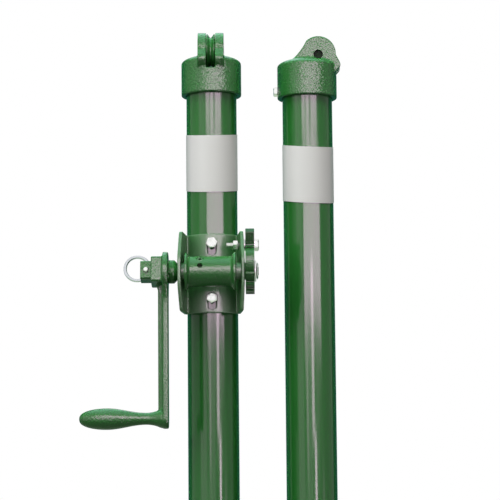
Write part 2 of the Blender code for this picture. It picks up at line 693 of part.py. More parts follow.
def make_ratchet_wheel(material, parent):
    """Wheel with saw teeth, steep on the side that meets the pawl, on the shaft's two flats."""
    outline = []
    for tooth in range(RATCHET_TEETH):
        tip = TOOTH_ANGLE + tooth * TOOTH_PITCH
        outline.append(wheel_point(RATCHET_RADIUS, tip))
        outline.append(wheel_point(RATCHET_RADIUS, tip + TOOTH_LAND))
        outline.append(wheel_point(RATCHET_RADIUS - TOOTH_DEPTH, tip + TOOTH_PITCH))
    wheel = soften(prism("ratchet_wheel", outline, SIDE_FACE, WHEEL_RIGHT, "X"), 0.0006)
    flat = math.degrees(math.acos((SEAT_HALF_WIDTH + HOLE_GAP) / (SHAFT_RADIUS + HOLE_GAP)))
    seat = arc((0, 0), SHAFT_RADIUS + HOLE_GAP, flat, 180 - flat, 6)
    seat += arc((0, 0), SHAFT_RADIUS + HOLE_GAP, 180 + flat, 360 - flat, 6)
    cut(wheel, prism("seat", seat, 0, BEYOND, "X"))
    return place(wheel, material, parent)


def make_end_pieces(zinc, parent):
    """Washer and thin nut that hold the ratchet wheel."""
    bore = END_THREAD_RADIUS + HOLE_GAP
    right = WASHER_LEFT + END_WASHER_THICKNESS
    profile = [(WASHER_LEFT, bore), (WASHER_LEFT, END_WASHER_RADIUS), (right, END_WASHER_RADIUS), (right, bore)]
    place(turned("end_washer", profile, DRUM_SIDES, "X", ring=True), zinc, parent)
    nut = prism("end_nut", hexagon(END_NUT_FLATS), NUT_LEFT, NUT_LEFT + END_NUT_THICKNESS, "X")
    hole = turned("hole", [(0, bore), (BEYOND, bore)], SMALL_SIDES, "X")
    place(cut(nut, hole), zinc, parent)


# Pawl and its pivot, about the pivot
def pawl_pivot():
    """The pivot's place about the post's axis at the bracket's middle height."""
    y, z = wheel_point(PIVOT_RADIUS, PAWL_PIVOT_ANGLE)
    return Vector((0, y - AXIS_DEPTH, z - DRUM_AXIS_DROP))


def pawl_outline():
    """Side view (y, z) of the pawl: round boss, raised top, and a nose against a tooth's steep face."""
    pivot = wheel_point(PIVOT_RADIUS, PAWL_PIVOT_ANGLE)
    root = RATCHET_RADIUS - TOOTH_DEPTH
    tip = RATCHET_RADIUS + NOSE_GAP
    nose = wheel_point(root + NOSE_GAP, TOOTH_ANGLE - 1) - pivot
    face = wheel_point(tip, TOOTH_ANGLE - 1) - pivot
    heel = wheel_point(tip, TOOTH_ANGLE + 9) - pivot
    under = wheel_point(tip, TOOTH_ANGLE - TOOTH_PITCH + 6) - pivot
    front = [(*nose, 0.0006), (*face, 0), (*heel, 0.001), (-PAWL_FRONT, heel.y + 0.004, 0.003)]
    front += [(-PAWL_FRONT + 0.002, PAWL_TOP, 0.0065), (-0.001, PAWL_TOP - 0.001, 0.008)]
    boss = arc((0, 0), PAWL_BOSS_RADIUS, 60, -100, 10)
    return rounded(front, 4)[:] + boss + [under]


def make_pawl(material, parent):
    """Cast pawl beside the bracket, over the ratchet wheel."""
    pawl = soften(prism("pawl", pawl_outline(), SIDE_FACE, WHEEL_RIGHT, "X"), 0.0009)
    radius = PAWL_BOLT_RADIUS + HOLE_GAP
    cut(pawl, turned("bore", [(0, radius), (BEYOND, radius)], SMALL_SIDES, "X"))
    return place(pawl, material, parent)


def make_pawl_fixings(zinc, parent):
    """The pawl's bolt, its nut inside the flange, and the spacer between flange and pawl."""
    depth = -pawl_pivot().y
    corner = PAWL_NUT_FLATS / math.sqrt(3)
    nut_right = flange_inner(depth - corner) - FIT_GAP
    nut_left = nut_right - PAWL_NUT_LENGTH
    head = WHEEL_RIGHT + FIT_GAP
    bolt = hex_bolt("pawl_bolt", PAWL_BOLT_FLATS, PAWL_BOLT_HEAD, PAWL_BOLT_RADIUS, head - nut_left + PAWL_BOLT_PAST_NUT)
    bolt.data.transform(Matrix.Translation((head, 0, 0)) @ AXES["X"].to_4x4())
    place(bolt, zinc, parent)
    bore = PAWL_BOLT_RADIUS + HOLE_GAP
    nut = prism("pawl_nut", hexagon(PAWL_NUT_FLATS), nut_left, nut_right, "X")
    place(cut(nut, turned("hole", [(0, bore), (BEYOND, bore)], SMALL_SIDES, "X")), zinc, parent)
    low = flange_outer(depth + PAWL_SPACER_RADIUS) + FIT_GAP
    high = SIDE_FACE - FIT_GAP
    profile = [(low, bore), (low, PAWL_SPACER_RADIUS), (high, PAWL_SPACER_RADIUS), (high, bore)]
    place(turned("pawl_spacer", profile, SMALL_SIDES, "X", ring=True), zinc, parent)


# Crank and linchpin, about the drum axis
def crank_plate_outline():
    """Side view (y, z) of the crank's flat: round head, slim arm and round end at the grip."""
    head = arc((0, 0), CRANK_HEAD_RADIUS, -42, 222, 22)
    end = arc((0, -CRANK_THROW), CRANK_END_RADIUS, 190, 350, 10)
    shoulder = -CRANK_HEAD_RADIUS - 0.012
    return head + [Vector((-CRANK_ARM_HALF_WIDTH, shoulder)), *end, Vector((CRANK_ARM_HALF_WIDTH, shoulder))]


def grip_profile():
    """Pear-shaped grip from the crank's flat outwards, as (x, radius)."""
    start = PLATE_LEFT + 0.002
    swell = GRIP_RADIUS - GRIP_NECK_RADIUS
    profile = [(start, CRANK_END_RADIUS - 0.0008), (PLATE_LEFT - 0.003, CRANK_END_RADIUS - 0.0012)]
    for step in range(1, 4):
        t = step / 3
        flare = (CRANK_END_RADIUS - 0.0012 - GRIP_NECK_RADIUS) * (1 - t) ** 2.2
        profile.append((PLATE_LEFT - 0.003 - 0.022 * t, GRIP_NECK_RADIUS + flare))
    neck = profile[-1][0]
    crest = PLATE_LEFT - 0.67 * GRIP_LENGTH
    for step in range(1, 6):
        t = step / 5
        profile.append((neck + (crest - neck) * t, GRIP_NECK_RADIUS + swell * (1 - math.cos(math.pi * t)) / 2))
    tip = PLATE_LEFT - GRIP_LENGTH
    for step in range(1, 7):
        angle = math.pi / 2 * step / 6
        profile.append((crest + (tip - crest) * math.sin(angle), GRIP_RADIUS * math.cos(angle) ** 0.8))
    return profile[:-1] + [(tip, 0.0008)]


def make_crank(material, parent):
    """Crank cast in one: square boss, flat with a rib along its arm, and grip."""
    crank = soften(prism("crank", crank_plate_outline(), PLATE_LEFT, PLATE_RIGHT, "X"), 0.0015)
    boss = soften(prism("boss", square(BOSS_SQUARE, BOSS_CORNER), BOSS_LEFT, PLATE_RIGHT - 0.002, "X"), 0.0012)
    rib_left = PLATE_LEFT - RIB_HEIGHT
    below_boss = -BOSS_SQUARE / 2
    corners = [(PLATE_RIGHT - 0.003, below_boss + 0.006, 0), (BOSS_LEFT + 0.005, below_boss + 0.006, 0)]
    corners += [(rib_left, below_boss - 0.008, 0.006), (rib_left, -CRANK_THROW, 0), (PLATE_RIGHT - 0.003, -CRANK_THROW, 0)]
    rib = prism("rib", rounded(corners, 3), -RIB_WIDTH / 2, RIB_WIDTH / 2, "Y")
    grip = moved(turned("grip", grip_profile(), GRIP_SIDES, "X"), (0, 0, -CRANK_THROW))
    join(crank, moved(boss, turn_x=-SQUARE_TURN), rib, grip)
    hole = prism("hole", square(SHAFT_SQUARE + 2 * HOLE_GAP, SHAFT_CORNER), -BEYOND, 0, "X")
    return place(cut(crank, moved(hole, turn_x=-SQUARE_TURN)), material, parent)


def make_linchpin(material, parent):
    """Pin through the square shaft, with a head behind it that holds the ring."""
    near = -SHAFT_SQUARE / 2 - LINCHPIN_TIP
    shoulder = SHAFT_SQUARE / 2 + FIT_GAP
    far = shoulder + LINCHPIN_HEAD_LENGTH
    profile = [(near, LINCHPIN_RADIUS - 0.001), (near + 0.001, LINCHPIN_RADIUS), (shoulder, LINCHPIN_RADIUS)]
    profile += [(shoulder, LINCHPIN_HEAD_RADIUS), (far - 0.0015, LINCHPIN_HEAD_RADIUS), (far, LINCHPIN_HEAD_RADIUS - 0.0015)]
    pin = turned("linchpin", profile, SMALL_SIDES, "Y")
    radius = RING_WIRE + RING_HOLE_GAP
    hole = turned("hole", [(-0.02, radius), (0.02, radius)], 16)
    cut(pin, moved(hole, (0, shoulder + LINCHPIN_HEAD_LENGTH / 2, 0)))
    return place(turned_about_pin(pin), material, parent)


def turned_about_pin(obj):
    """Turns the linchpin's mesh about its own axis, so that its ring points up and out."""
    obj.data.transform(Matrix.Rotation(math.radians(RING_TURN), 4, "Y"))
    return obj


def make_ring(material, parent):
    """Closed wire ring through the hole in the linchpin's head."""
    profile = [circle_point(RING_WIRE, 45 * i) + Vector((0, RING_RADIUS)) for i in range(8)]
    ring = turned("linchpin_ring", profile, GRIP_SIDES, "Y", ring=True)
    ring = turned_about_pin(moved(ring, (-RING_RADIUS, 0, 0)))
    return place(ring, material, parent, (0, SHAFT_SQUARE / 2 + FIT_GAP + LINCHPIN_HEAD_LENGTH / 2, 0))


# The two posts
def build_winch(paint, zinc, post):
    """The winch on its post: bracket, drum, ratchet, pawl, crank and linchpin."""
    bracket = frame_at("bracket_middle", post, (0, 0, WINCH_HEIGHT))
    make_bracket(paint, bracket)
    for place_name, height in zip(("upper", "lower"), bolt_heights()):
        make_bracket_bolt(place_name + "_bracket_bolt", height, zinc, bracket)
        make_bracket_nut(place_name + "_bracket_nut", height, zinc, bracket)
    axis = frame_at("drum_axis", bracket, (0, -AXIS_DEPTH, -DRUM_AXIS_DROP))
    make_bush("left_bush", -SIDE_FACE + FIT_GAP, DRUM_LEFT - FIT_GAP, paint, axis)
    make_bush("right_bush", DRUM_RIGHT + FIT_GAP, SIDE_FACE - FIT_GAP, paint, axis)
    make_drum(paint, axis)
    make_set_screw(paint, axis)
    make_shaft(paint, axis)
    make_ratchet_wheel(paint, axis)
    make_end_pieces(zinc, axis)
    make_crank(paint, axis)
    pivot = frame_at("pawl_pivot", bracket, pawl_pivot())
    make_pawl(paint, pivot)
    make_pawl_fixings(zinc, pivot)
    pin = frame_at("linchpin_axis", axis, (SHAFT_LEFT + LINCHPIN_SETBACK, 0, 0), turn_x=-SQUARE_TURN)
    make_linchpin(zinc, pin)
    make_ring(zinc, pin)


def stand_on_origin(root):
    """Moves the whole pair so that its box is centred over the origin and stands on z = 0."""
    bpy.context.view_layer.update()
    graph = bpy.context.evaluated_depsgraph_get()
    low = Vector((math.inf,) * 3)
    high = Vector((-math.inf,) * 3)
    for obj in bpy.context.scene.objects:
        if obj.type == "EMPTY":
            continue
        evaluated = obj.evaluated_get(graph)
        for vertex in evaluated.to_mesh().vertices:
            point = evaluated.matrix_world @ vertex.co
            low = Vector(map(min, low, point))
            high = Vector(map(max, high, point))
        evaluated.to_mesh_clear()
    root.location -= Vector(((low.x + high.x) / 2, (low.y + high.y) / 2, low.z))


def main():
    for obj in list(bpy.data.objects):
        bpy.data.objects.remove(obj)
    paint = make_material("green_paint", (0.022, 0.130, 0.042), 0.28, 0.0)
    zinc = make_material("zinc_plate", (0.72, 0.76, 0.80), 0.25, 1.0)
    vinyl = make_material("white_vinyl", (0.80, 0.79, 0.76), 0.35, 0.0)
    root = frame_at("pair_of_posts", None, (0, 0, 0))
    winch_post = frame_at("winch_post", root, (0, 0, 0))
    plain_post = frame_at("plain_post", root, (POST_SPACING, PLAIN_SETBACK, 0))
    make_tube("winch_post_tube", paint, winch_post, BACK, bolt_heights())
    make_tube("plain_post_tube", paint, plain_post, LEFT)
    make_band("winch_post_label_band", vinyl, winch_post, WINCH_BAND_DROP, 0)
    make_band("plain_post_label_band", vinyl, plain_post, PLAIN_BAND_DROP, PLAIN_BAND_TILT)
    make_top("winch_post", paint, zinc, winch_post, facing=-90)
    make_top("plain_post", paint, zinc, plain_post, facing=0)
    build_winch(paint, zinc, winch_post)
    stand_on_origin(root)


main()
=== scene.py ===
"""Looks of a pair of round net posts: one with a crank winch and ratchet, one plain.

Metres, +Z up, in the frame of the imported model. Each piece stands for the model's node of the same
place and size, with the finer edges, threads, castings and finishes that the real pieces have.
"""

import math

import bmesh
import bpy
from mathutils import Matrix, Vector


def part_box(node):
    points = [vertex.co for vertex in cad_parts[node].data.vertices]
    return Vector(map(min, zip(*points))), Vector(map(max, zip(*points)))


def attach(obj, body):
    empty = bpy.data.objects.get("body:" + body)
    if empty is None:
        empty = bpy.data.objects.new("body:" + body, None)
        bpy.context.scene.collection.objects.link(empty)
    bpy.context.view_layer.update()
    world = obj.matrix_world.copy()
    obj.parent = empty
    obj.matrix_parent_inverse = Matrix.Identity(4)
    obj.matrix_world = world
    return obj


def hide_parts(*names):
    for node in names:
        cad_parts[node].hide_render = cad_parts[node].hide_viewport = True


bl_info = {
    "name": "Net posts with a crank winch",
    "version": (1, 0, 0),
    "blender": (4, 5, 0),
    "location": "View3D > Sidebar > Net posts",
    "description": "Makes the painted, cast and plated pieces of a winch post and a plain post",
    "category": "Object",
}

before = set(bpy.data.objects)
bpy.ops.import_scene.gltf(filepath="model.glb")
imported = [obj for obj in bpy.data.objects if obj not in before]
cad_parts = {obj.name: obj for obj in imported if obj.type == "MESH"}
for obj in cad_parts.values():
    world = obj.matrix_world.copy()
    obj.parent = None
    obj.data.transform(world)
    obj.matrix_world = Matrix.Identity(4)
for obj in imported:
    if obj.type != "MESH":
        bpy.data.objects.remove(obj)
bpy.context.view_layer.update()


def middle(node):
    low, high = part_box(node)
    return (low + high) / 2


def reach(node):
    low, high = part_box(node)
    return high - low


def span(node):
    """Lowest and highest x of a node, counted from the winch post's axis."""
    return [corner.x - WINCH_POST.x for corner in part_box(node)]


# Places of the main axes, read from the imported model
WINCH_POST = middle("winch_post_tube")
PLAIN_POST = middle("plain_post_tube")
RIM_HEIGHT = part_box("winch_post_cap")[0].z
DRUM_AXIS = Vector((WINCH_POST.x, middle("drum").y, middle("drum").z))
PAWL_PIVOT = Vector((WINCH_POST.x, middle("pawl_spacer").y, middle("pawl_spacer").z))
BRACKET_MIDDLE = Vector((WINCH_POST.x, WINCH_POST.y, middle("winch_bracket").z))
LINCHPIN_X = middle("linchpin").x

# Posts
TUBE_RADIUS = reach("winch_post_tube").x / 2
TUBE_LENGTH = reach("winch_post_tube").z
TUBE_WALL = 0.0032
TUBE_EASE = 0.0005
FIT_GAP = 0.0003

# Cap and sheave, heights above the cap's lower rim
CAP_WALL = 0.0071
CAP_EASE = 0.001
SOCKET_EASE = 0.0006
CAP_RADIUS = TUBE_RADIUS + FIT_GAP + CAP_WALL
CAP_SIDE_HEIGHT = 0.049
CAP_CROWN_RISE = 0.013
AXLE_HEIGHT = 0.066
AXLE_REACH = 0.0174
AXLE_RADIUS = 0.0069
AXLE_RECESS = 0.0035
AXLE_EASE = 0.0008
EAR_RADIUS = 0.027
EAR_RISE = 0.0015
EAR_SPAN = 0.039
EAR_GAP = 0.014
LIP_OVERHANG = 0.0058
LIP_HEIGHT = 0.0495
SHEAVE_RADIUS = 0.027
SHEAVE_WIDTH = 0.0124
SHEAVE_RECESS = 0.0014
GROOVE_DEPTH = 0.0058
SHEAVE_HUB_RADIUS = 0.0125
SLOT_CLEARANCE = 0.0025
SOCKET_DEPTH = 0.033
CAP_SCREW_HEIGHT = 0.0117
CAP_SCREW_RADIUS = 0.004
CAP_SCREW_FLATS = 0.013
CAP_SCREW_HEAD = 0.0058
CAP_SCREW_PLAIN = 0.002
CAP_SCREW_TIP = 0.004

# Bands
BAND_HEIGHT = 0.086
BAND_THICKNESS = 0.0005
BAND_EASE = 0.00012
BAND_SEAM = 0.002
BAND_DIP = 11.0
PLAIN_BAND_TILT = 3.0

# Winch bracket
BRACKET_HEIGHT = reach("winch_bracket").z
PLATE = 0.005
SADDLE_INNER = TUBE_RADIUS + FIT_GAP
SADDLE_OUTER = SADDLE_INNER + PLATE
SADDLE_REAR_DEPTH = 0.016
FLANGE_FLARE = 5.9
FLARE_SLOPE = math.tan(math.radians(FLANGE_FLARE))
FLANGE_PLAY = 0.001
FLANGE_FRONT = 0.018
SLOT_WIDTH = 0.0132
SLOT_LENGTH = 0.025
UPPER_SLOT_MARGIN = 0.020
LOWER_SLOT_MARGIN = 0.0165
BOLT_RADIUS = 0.005
BOLT_FLATS = 0.0148
BOLT_HEAD = 0.0064
BOLT_PLAIN = 0.006
BOLT_TIP = 0.003
BRACKET_NUT_RADIUS = 0.0085
BRACKET_NUT_LENGTH = 0.008
BRACKET_NUT_EASE = 0.0005

# Drum, shaft and ratchet wheel, places along the drum axis from the winch post's middle
DRUM_LEFT, DRUM_RIGHT = span("drum")
AXIS_DEPTH = WINCH_POST.y - DRUM_AXIS.y
AXIS_DROP = BRACKET_MIDDLE.z - DRUM_AXIS.z
BARREL_RADIUS = 0.0225
DRUM_FLANGE_RADIUS = 0.028
DRUM_RIM = 0.0035
DRUM_FOOT = 0.0062
SHAFT_RADIUS = 0.0095
BUSH_WALL = 0.003
BUSH_EASE = 0.0004
COLLAR_RADIUS = 0.0173
COLLAR_BEVEL = 0.004
CLAMP_X = DRUM_LEFT + 0.0225
CABLE_HOLE_RADIUS = 0.0035
CABLE_HOLE_ANGLE = 18.0
SET_SCREW_RADIUS = 0.0047
SET_SCREW_SOCKET = 0.0052
SET_SCREW_ANGLE = 50.0
CLAMP_FLOOR_RADIUS = 0.0122
RATCHET_TEETH = 12
RATCHET_RADIUS = 0.034
TOOTH_DEPTH = 0.0065
TOOTH_LAND = 3.0
TOOTH_WELD = 0.00004
TOOTH_ANGLE = 10.0
TOOTH_PITCH = 360.0 / RATCHET_TEETH
RATCHET_ROOT = RATCHET_RADIUS - TOOTH_DEPTH
SEAT_HALF_WIDTH = 0.0075
PIVOT_RADIUS = 0.046
PIVOT_ANGLE = -26.0
PAWL_BOSS_RADIUS = 0.0088
PAWL_FRONT = 0.030
PAWL_TOP = 0.0215
PAWL_LEAN = 0.0062
PAWL_CHAMFER = 0.0062
PAWL_BOLT_RADIUS = 0.004
PAWL_BOLT_FLATS = 0.016
PAWL_NUT_FLATS = 0.0125
NOSE_GAP = 0.0012
PAWL_SPACER_RADIUS = 0.009
PAWL_SPACER_EASE = 0.0003
PAWL_BOLT_PLAY = 0.002
END_THREAD_RADIUS = 0.0068
STUB_OVERLAP = 0.0008
END_NUT_FLATS = 0.024
WASHER_EASE = 0.0004
WHEEL_LEFT, WHEEL_RIGHT = span("ratchet_wheel")
SHAFT_LEFT, SHAFT_RIGHT = span("drum_shaft")

# Crank and linchpin
CRANK_THROW = 0.215
CRANK_PLATE = 0.0083
CRANK_DRAFT = 0.07
CRANK_SPREAD = 1.02
CRANK_EASE = 0.0014
CRANK_HEAD_RADIUS = 0.0295
CRANK_ARM_HALF_WIDTH = 0.0135
CRANK_END_RADIUS = 0.0150
BOSS_SQUARE = 0.0385
BOSS_CORNER = 0.003
BOSS_LENGTH = 0.0167
SHAFT_SQUARE = 0.027
SHAFT_CORNER = 0.0022
SHAFT_EASE = 0.0009
SQUARE_TURN = 10.0
RIB_WIDTH = 0.008
RIB_HEIGHT = 0.0072
RIB_ROOT = 1.6
RIB_TAPER = 1.2
GRIP_LENGTH = 0.1225
GRIP_RADIUS = 0.0157
GRIP_NECK_RADIUS = 0.0088
GRIP_FLARE = 0.022
GRIP_CREST = 0.67
PLATE_RIGHT = span("crank")[1]
PLATE_LEFT = PLATE_RIGHT - CRANK_PLATE
BOSS_LEFT = PLATE_LEFT - BOSS_LENGTH
COLLAR_LEFT = PLATE_RIGHT + FIT_GAP
LINCHPIN_RADIUS = 0.0036
LINCHPIN_TIP = 0.0032
LINCHPIN_HEAD_RADIUS = 0.0064
LINCHPIN_HEAD_LENGTH = 0.0105
PIN_SHOULDER = SHAFT_SQUARE / 2 + FIT_GAP
RING_RADIUS = 0.0181
RING_WIRE = 0.0024
RING_TURN = 37.0
RING_HOLE_GAP = 0.0014

# Mesh size and smoothing passes of the two small castings, and passes of the bent plate
WHEEL_CASTING = (0.0006, 2)
PAWL_CASTING = (0.0005, 4)
PLATE_PASSES = 2

# Screws and nuts, as shares of their own sizes
THREAD_SHARE = 0.5
TIP_TAPER = 1.3
RINGS_PER_PITCH = 8.0
HEX_CROWN = 0.42
HEX_SLOPE = 1.732

# Least distance between points, a length past every piece, and the sides of round pieces
MESHED = 1e-7
BEYOND = 3 * TUBE_RADIUS
ROUND_STEPS = 192
MID_STEPS = 96
SMALL_STEPS = 64
FINE_STEPS = 48

# Patterns per metre that every paint or plating shares
PATCH_SCALE = 38.0
CRYSTAL_SCALE = 900.0
SCRATCH_SCALE = 2400.0

# Slots of the finishes that aren't green paint, and what new groups and materials start from
SLOTS = {"zinc_plate_skin": "zinc_plate", "steel_wire_skin": "zinc_plate", "band_vinyl": "white_vinyl"}
SOCKETS = {float: "NodeSocketFloat", int: "NodeSocketInt", tuple: "NodeSocketColor"}
LEAST = {"Pitch": 0.0002, "Teeth": 3}
SKIN = {"Colour": "Color", "Roughness": "Float", "Normal": "Vector"}
PLAIN_SURFACE = {"Metallic": 0.0, "IOR": 1.5, "Specular IOR Level": 0.5, "Coat Weight": 0.0,
                 "Coat Roughness": 0.1}


# Outlines
def circle_point(radius, degrees):
    """Point on a circle, counted from the first axis towards the second."""
    angle = math.radians(degrees)
    return Vector((radius * math.cos(angle), radius * math.sin(angle)))


def wheel_point(radius, degrees):
    """Point (y, z) about the drum axis, at an angle from straight up towards the front."""
    angle = math.radians(degrees)
    return Vector((-radius * math.sin(angle), radius * math.cos(angle)))


def arc(centre, radius, start, end, steps):
    """Points on a circle from one angle to another, in degrees."""
    turn = (end - start) / steps
    return [Vector(centre) + circle_point(radius, start + turn * i) for i in range(steps + 1)]


def rounded(corners, steps=8):
    """Outline through (a, b, radius) corners, each rounded by an arc of its radius."""
    outline = []
    for i, (a, b, radius) in enumerate(corners):
        here = Vector((a, b))
        if radius <= 0:
            outline.append(here)
            continue
        back = Vector(corners[i - 1][:2]) - here
        ahead = Vector(corners[(i + 1) % len(corners)][:2]) - here
        half = back.angle(ahead) / 2
        length = min(radius / math.tan(half), 0.48 * back.length, 0.48 * ahead.length)
        centre = here + (back.normalized() + ahead.normalized()).normalized() * length / math.cos(half)
        first = here + back.normalized() * length - centre
        last = here + ahead.normalized() * length - centre
        start = math.atan2(first.y, first.x)
        sweep = (math.atan2(last.y, last.x) - start + math.pi) % (2 * math.pi) - math.pi
        for step in range(steps + 1):
            outline.append(centre + circle_point(first.length, math.degrees(start + sweep * step / steps)))
    return outline


def square(side, corner):
    half = side / 2
    return rounded([(a * half, b * half, corner) for a, b in ((1, 1), (-1, 1), (-1, -1), (1, -1))])


def curve_through(points, per_span):
    """Smooth curve through points, with a number of steps between each two."""
    line = []
    for i in range(len(points) - 1):
        a, b, c, d = [Vector(points[min(max(i + k, 0), len(points) - 1)]) for k in (-1, 0, 1, 2)]
        for step in range(per_span):
            t = step / per_span
            line.append(0.5 * (2 * b + (c - a) * t + (2 * a - 5 * b + 4 * c - d) * t * t
                               + (3 * b - a - 3 * c + d) * t ** 3))
    return line + [Vector(points[-1])]


# Solids
AXES = {
    "X": Matrix(((0, 0, 1), (1, 0, 0), (0, 1, 0))),
    "Y": Matrix(((1, 0, 0), (0, 0, 1), (0, 1, 0))),
    "Z": Matrix.Identity(3),
}


def solid_from(name, shape, along):
    """New object from a bmesh drawn along Z, turned so that it runs along the named axis."""
    bmesh.ops.transform(shape, matrix=AXES[along].to_4x4(), verts=shape.verts)
    bmesh.ops.recalc_face_normals(shape, faces=shape.faces)
    mesh = bpy.data.meshes.new(name)
    shape.to_mesh(mesh)
    shape.free()
    solid = bpy.data.objects.new(name, mesh)
    bpy.context.scene.collection.objects.link(solid)
    return solid


def prism(name, outline, low, high, along="Z"):
    """Outline extruded along an axis. It lies in the (y, z), (x, z) or (x, y) plane."""
    shape = bmesh.new()
    outline = [here for here, last in zip(outline, [outline[-1], *outline]) if (here - last).length > MESHED]
    face = shape.faces.new([shape.verts.new((a, b, low)) for a, b in outline])
    top = bmesh.ops.extrude_face_region(shape, geom=[face])["geom"]
    raised = [item for item in top if isinstance(item, bmesh.types.BMVert)]
    bmesh.ops.translate(shape, verts=raised, vec=(0, 0, high - low))
    return solid_from(name, shape, along)


def turned(name, profile, sides=ROUND_STEPS, along="Z", ring=False):
    """Profile of (place along the axis, radius) points turned about the axis.

    An open profile is closed to the axis at both ends. A ring's profile closes on itself.
    """
    if not ring:
        profile = [(profile[0][0], 0.0), *profile, (profile[-1][0], 0.0)]
    shape = bmesh.new()
    loops = []
    for place, radius in profile:
        count = 1 if radius < MESHED else sides
        points = [circle_point(radius, 360.0 * i / sides) for i in range(count)]
        loops.append([shape.verts.new((a, b, place)) for a, b in points])
    pairs = list(zip(loops, loops[1:]))
    if ring:
        pairs.append((loops[-1], loops[0]))
    for low, high in pairs:
        for i in range(sides):
            j = (i + 1) % sides
            corners = [low[i % len(low)], low[j % len(low)], high[j % len(high)], high[i % len(high)]]
            kept = list(dict.fromkeys(corners))
            if len(kept) > 2:
                shape.faces.new(kept)
    return solid_from(name, shape, along)


def sleeve(name, low, high, bore, outer, ease, sides=SMALL_STEPS, along="X", inside=0.0):
    """Turned ring with broken outer edges, and inner ones where inside says how far."""
    profile = [(low, bore + inside), (low, outer - ease), (low + ease, outer), (high - ease, outer),
               (high, outer - ease), (high, bore + inside)]
    if inside:
        profile += [(high - inside, bore), (low + inside, bore)]
    return turned(name, profile, sides, along, ring=True)


def shifted(solid, offset=(0, 0, 0), turn=0.0, axis="X"):
    """Turns the mesh itself, not the object, about an axis, and moves it."""
    solid.data.transform(Matrix.Translation(offset) @ Matrix.Rotation(math.radians(turn), 4, axis))
    return solid


def settled(solid):
    """Turns what the modifiers make into a plain mesh."""
    graph = bpy.context.evaluated_depsgraph_get()
    mesh = bpy.data.meshes.new_from_object(solid.evaluated_get(graph))
    solid.modifiers.clear()
    old = solid.data
    solid.data = mesh
    bpy.data.meshes.remove(old)
    return solid


def combined(base, tool, operation):
    modifier = base.modifiers.new("solid", "BOOLEAN")
    modifier.operation = operation
    modifier.object = tool
    modifier.solver = "EXACT"
    settled(base)
    bpy.data.objects.remove(tool)
    return base


def cut(base, *tools):
    for tool in tools:
        combined(base, tool, "DIFFERENCE")
    return base


def join(base, *tools):
    for tool in tools:
        combined(base, tool, "UNION")
    return base


def bored(base, radius, low, high, along, offset=(0, 0, 0), turn=0.0, axis="X", sides=SMALL_STEPS):
    """Drills a round hole, drawn along an axis and then turned and moved as a piece is."""
    drill = turned("drill", [(low, radius), (high, radius)], sides, along)
    return cut(base, shifted(drill, offset, turn, axis))


def eased(solid, width, segments=3, angle=30):
    """Rounds the sharp edges of a machined piece."""
    modifier = solid.modifiers.new("edge", "BEVEL")
    modifier.width = width
    modifier.segments = segments
    modifier.limit_method = "ANGLE"
    modifier.angle_limit = math.radians(angle)
    modifier.use_clamp_overlap = True
    return settled(solid)


def cast(solid, grain, passes):
    """Melts a joined shape into one casting with soft edges and filled corners."""
    remesh = solid.modifiers.new("grain", "REMESH")
    remesh.mode = "VOXEL"
    remesh.voxel_size = grain
    smooth = solid.modifiers.new("fillet", "SMOOTH")
    smooth.factor = 0.5
    smooth.iterations = passes
    return settled(solid)


def painted():
    """Collection of the painted pieces, which alone mirror the cards."""
    return bpy.data.collections.get("painted_pieces") or bpy.data.collections.new("painted_pieces")


def put(solid, material, body, node, sharp=32):
    """Gives a finished piece its finish and body, and lets it stand for the model's node."""
    slot = SLOTS.get(material.name, "green_paint")
    if slot == "green_paint":
        painted().objects.link(solid)
    solid.data.materials.clear()
    solid.data.materials.append(material)
    solid.data.shade_smooth()
    solid.data.set_sharp_from_angle(angle=math.radians(sharp))
    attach(solid, body)
    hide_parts(node)


def at_post(solid, post, height=0.0, facing=0.0):
    """Moves a piece from its own axis to a post's axis."""
    return shifted(solid, (post.x, post.y, height), facing, "Z")


# Node trees
class Term:
    """Output of a node. Sums of terms and numbers become Math nodes of the same tree."""

    def __init__(self, tree, socket):
        self.tree, self.socket = tree, socket

    def math(self, operation, other=0.0):
        return add(self.tree, "ShaderNodeMath", {0: self, 1: other}, operation=operation)

    def __add__(self, other):
        return self.math("ADD", other)

    def __sub__(self, other):
        return self.math("SUBTRACT", other)

    def __mul__(self, other):
        return self.math("MULTIPLY", other)

    def __truediv__(self, other):
        return self.math("DIVIDE", other)


def add(tree, kind, inputs=None, output=0, **options):
    """Adds a node, sets its options, fills or links its inputs, and gives one of its outputs."""
    made = tree.nodes.new(kind)
    for name, value in options.items():
        setattr(made, name, value)
    for key, value in (inputs or {}).items():
        for item in value if isinstance(value, list) else [value]:
            if isinstance(item, Term):
                tree.links.new(item.socket, made.inputs[key])
            else:
                made.inputs[key].default_value = item
    return Term(tree, made.outputs[output])


def shared(name, build):
    """Node group of this name, built where there is none yet."""
    return bpy.data.node_groups.get(name) or build(name)


def new_group(name, kind, outputs, inputs):
    """Empty node group, and a term for each input. An input's type follows its default or its label."""
    tree = bpy.data.node_groups.new(name, kind)
    for label, default in inputs.items():
        socket = SOCKETS.get(type(default), "NodeSocket" + label)
        made = tree.interface.new_socket(label, in_out="INPUT", socket_type=socket)
        if default is not None:
            made.default_value = default
        if isinstance(default, (int, float)):
            made.min_value = LEAST.get(label, 0)
    for label, result in outputs.items():
        tree.interface.new_socket(label, in_out="OUTPUT", socket_type="NodeSocket" + result)
    given = tree.nodes.new("NodeGroupInput").outputs
    return tree, {label: Term(tree, given[label]) for label in inputs}


def give(tree, **results):
    """Links results to the group's outputs."""
    out = tree.nodes.new("NodeGroupOutput")
    for label, term in results.items():
        tree.links.new(term.socket, out.inputs[label])
    return tree


def geometry_group(name, **inputs):
    """Empty geometry tree whose inputs are written with underscores for spaces."""
    labels = {label.replace("_", " "): default for label, default in inputs.items()}
    return new_group(name, "GeometryNodeTree", {"Geometry": "Geometry"}, {**labels, "Material": None})


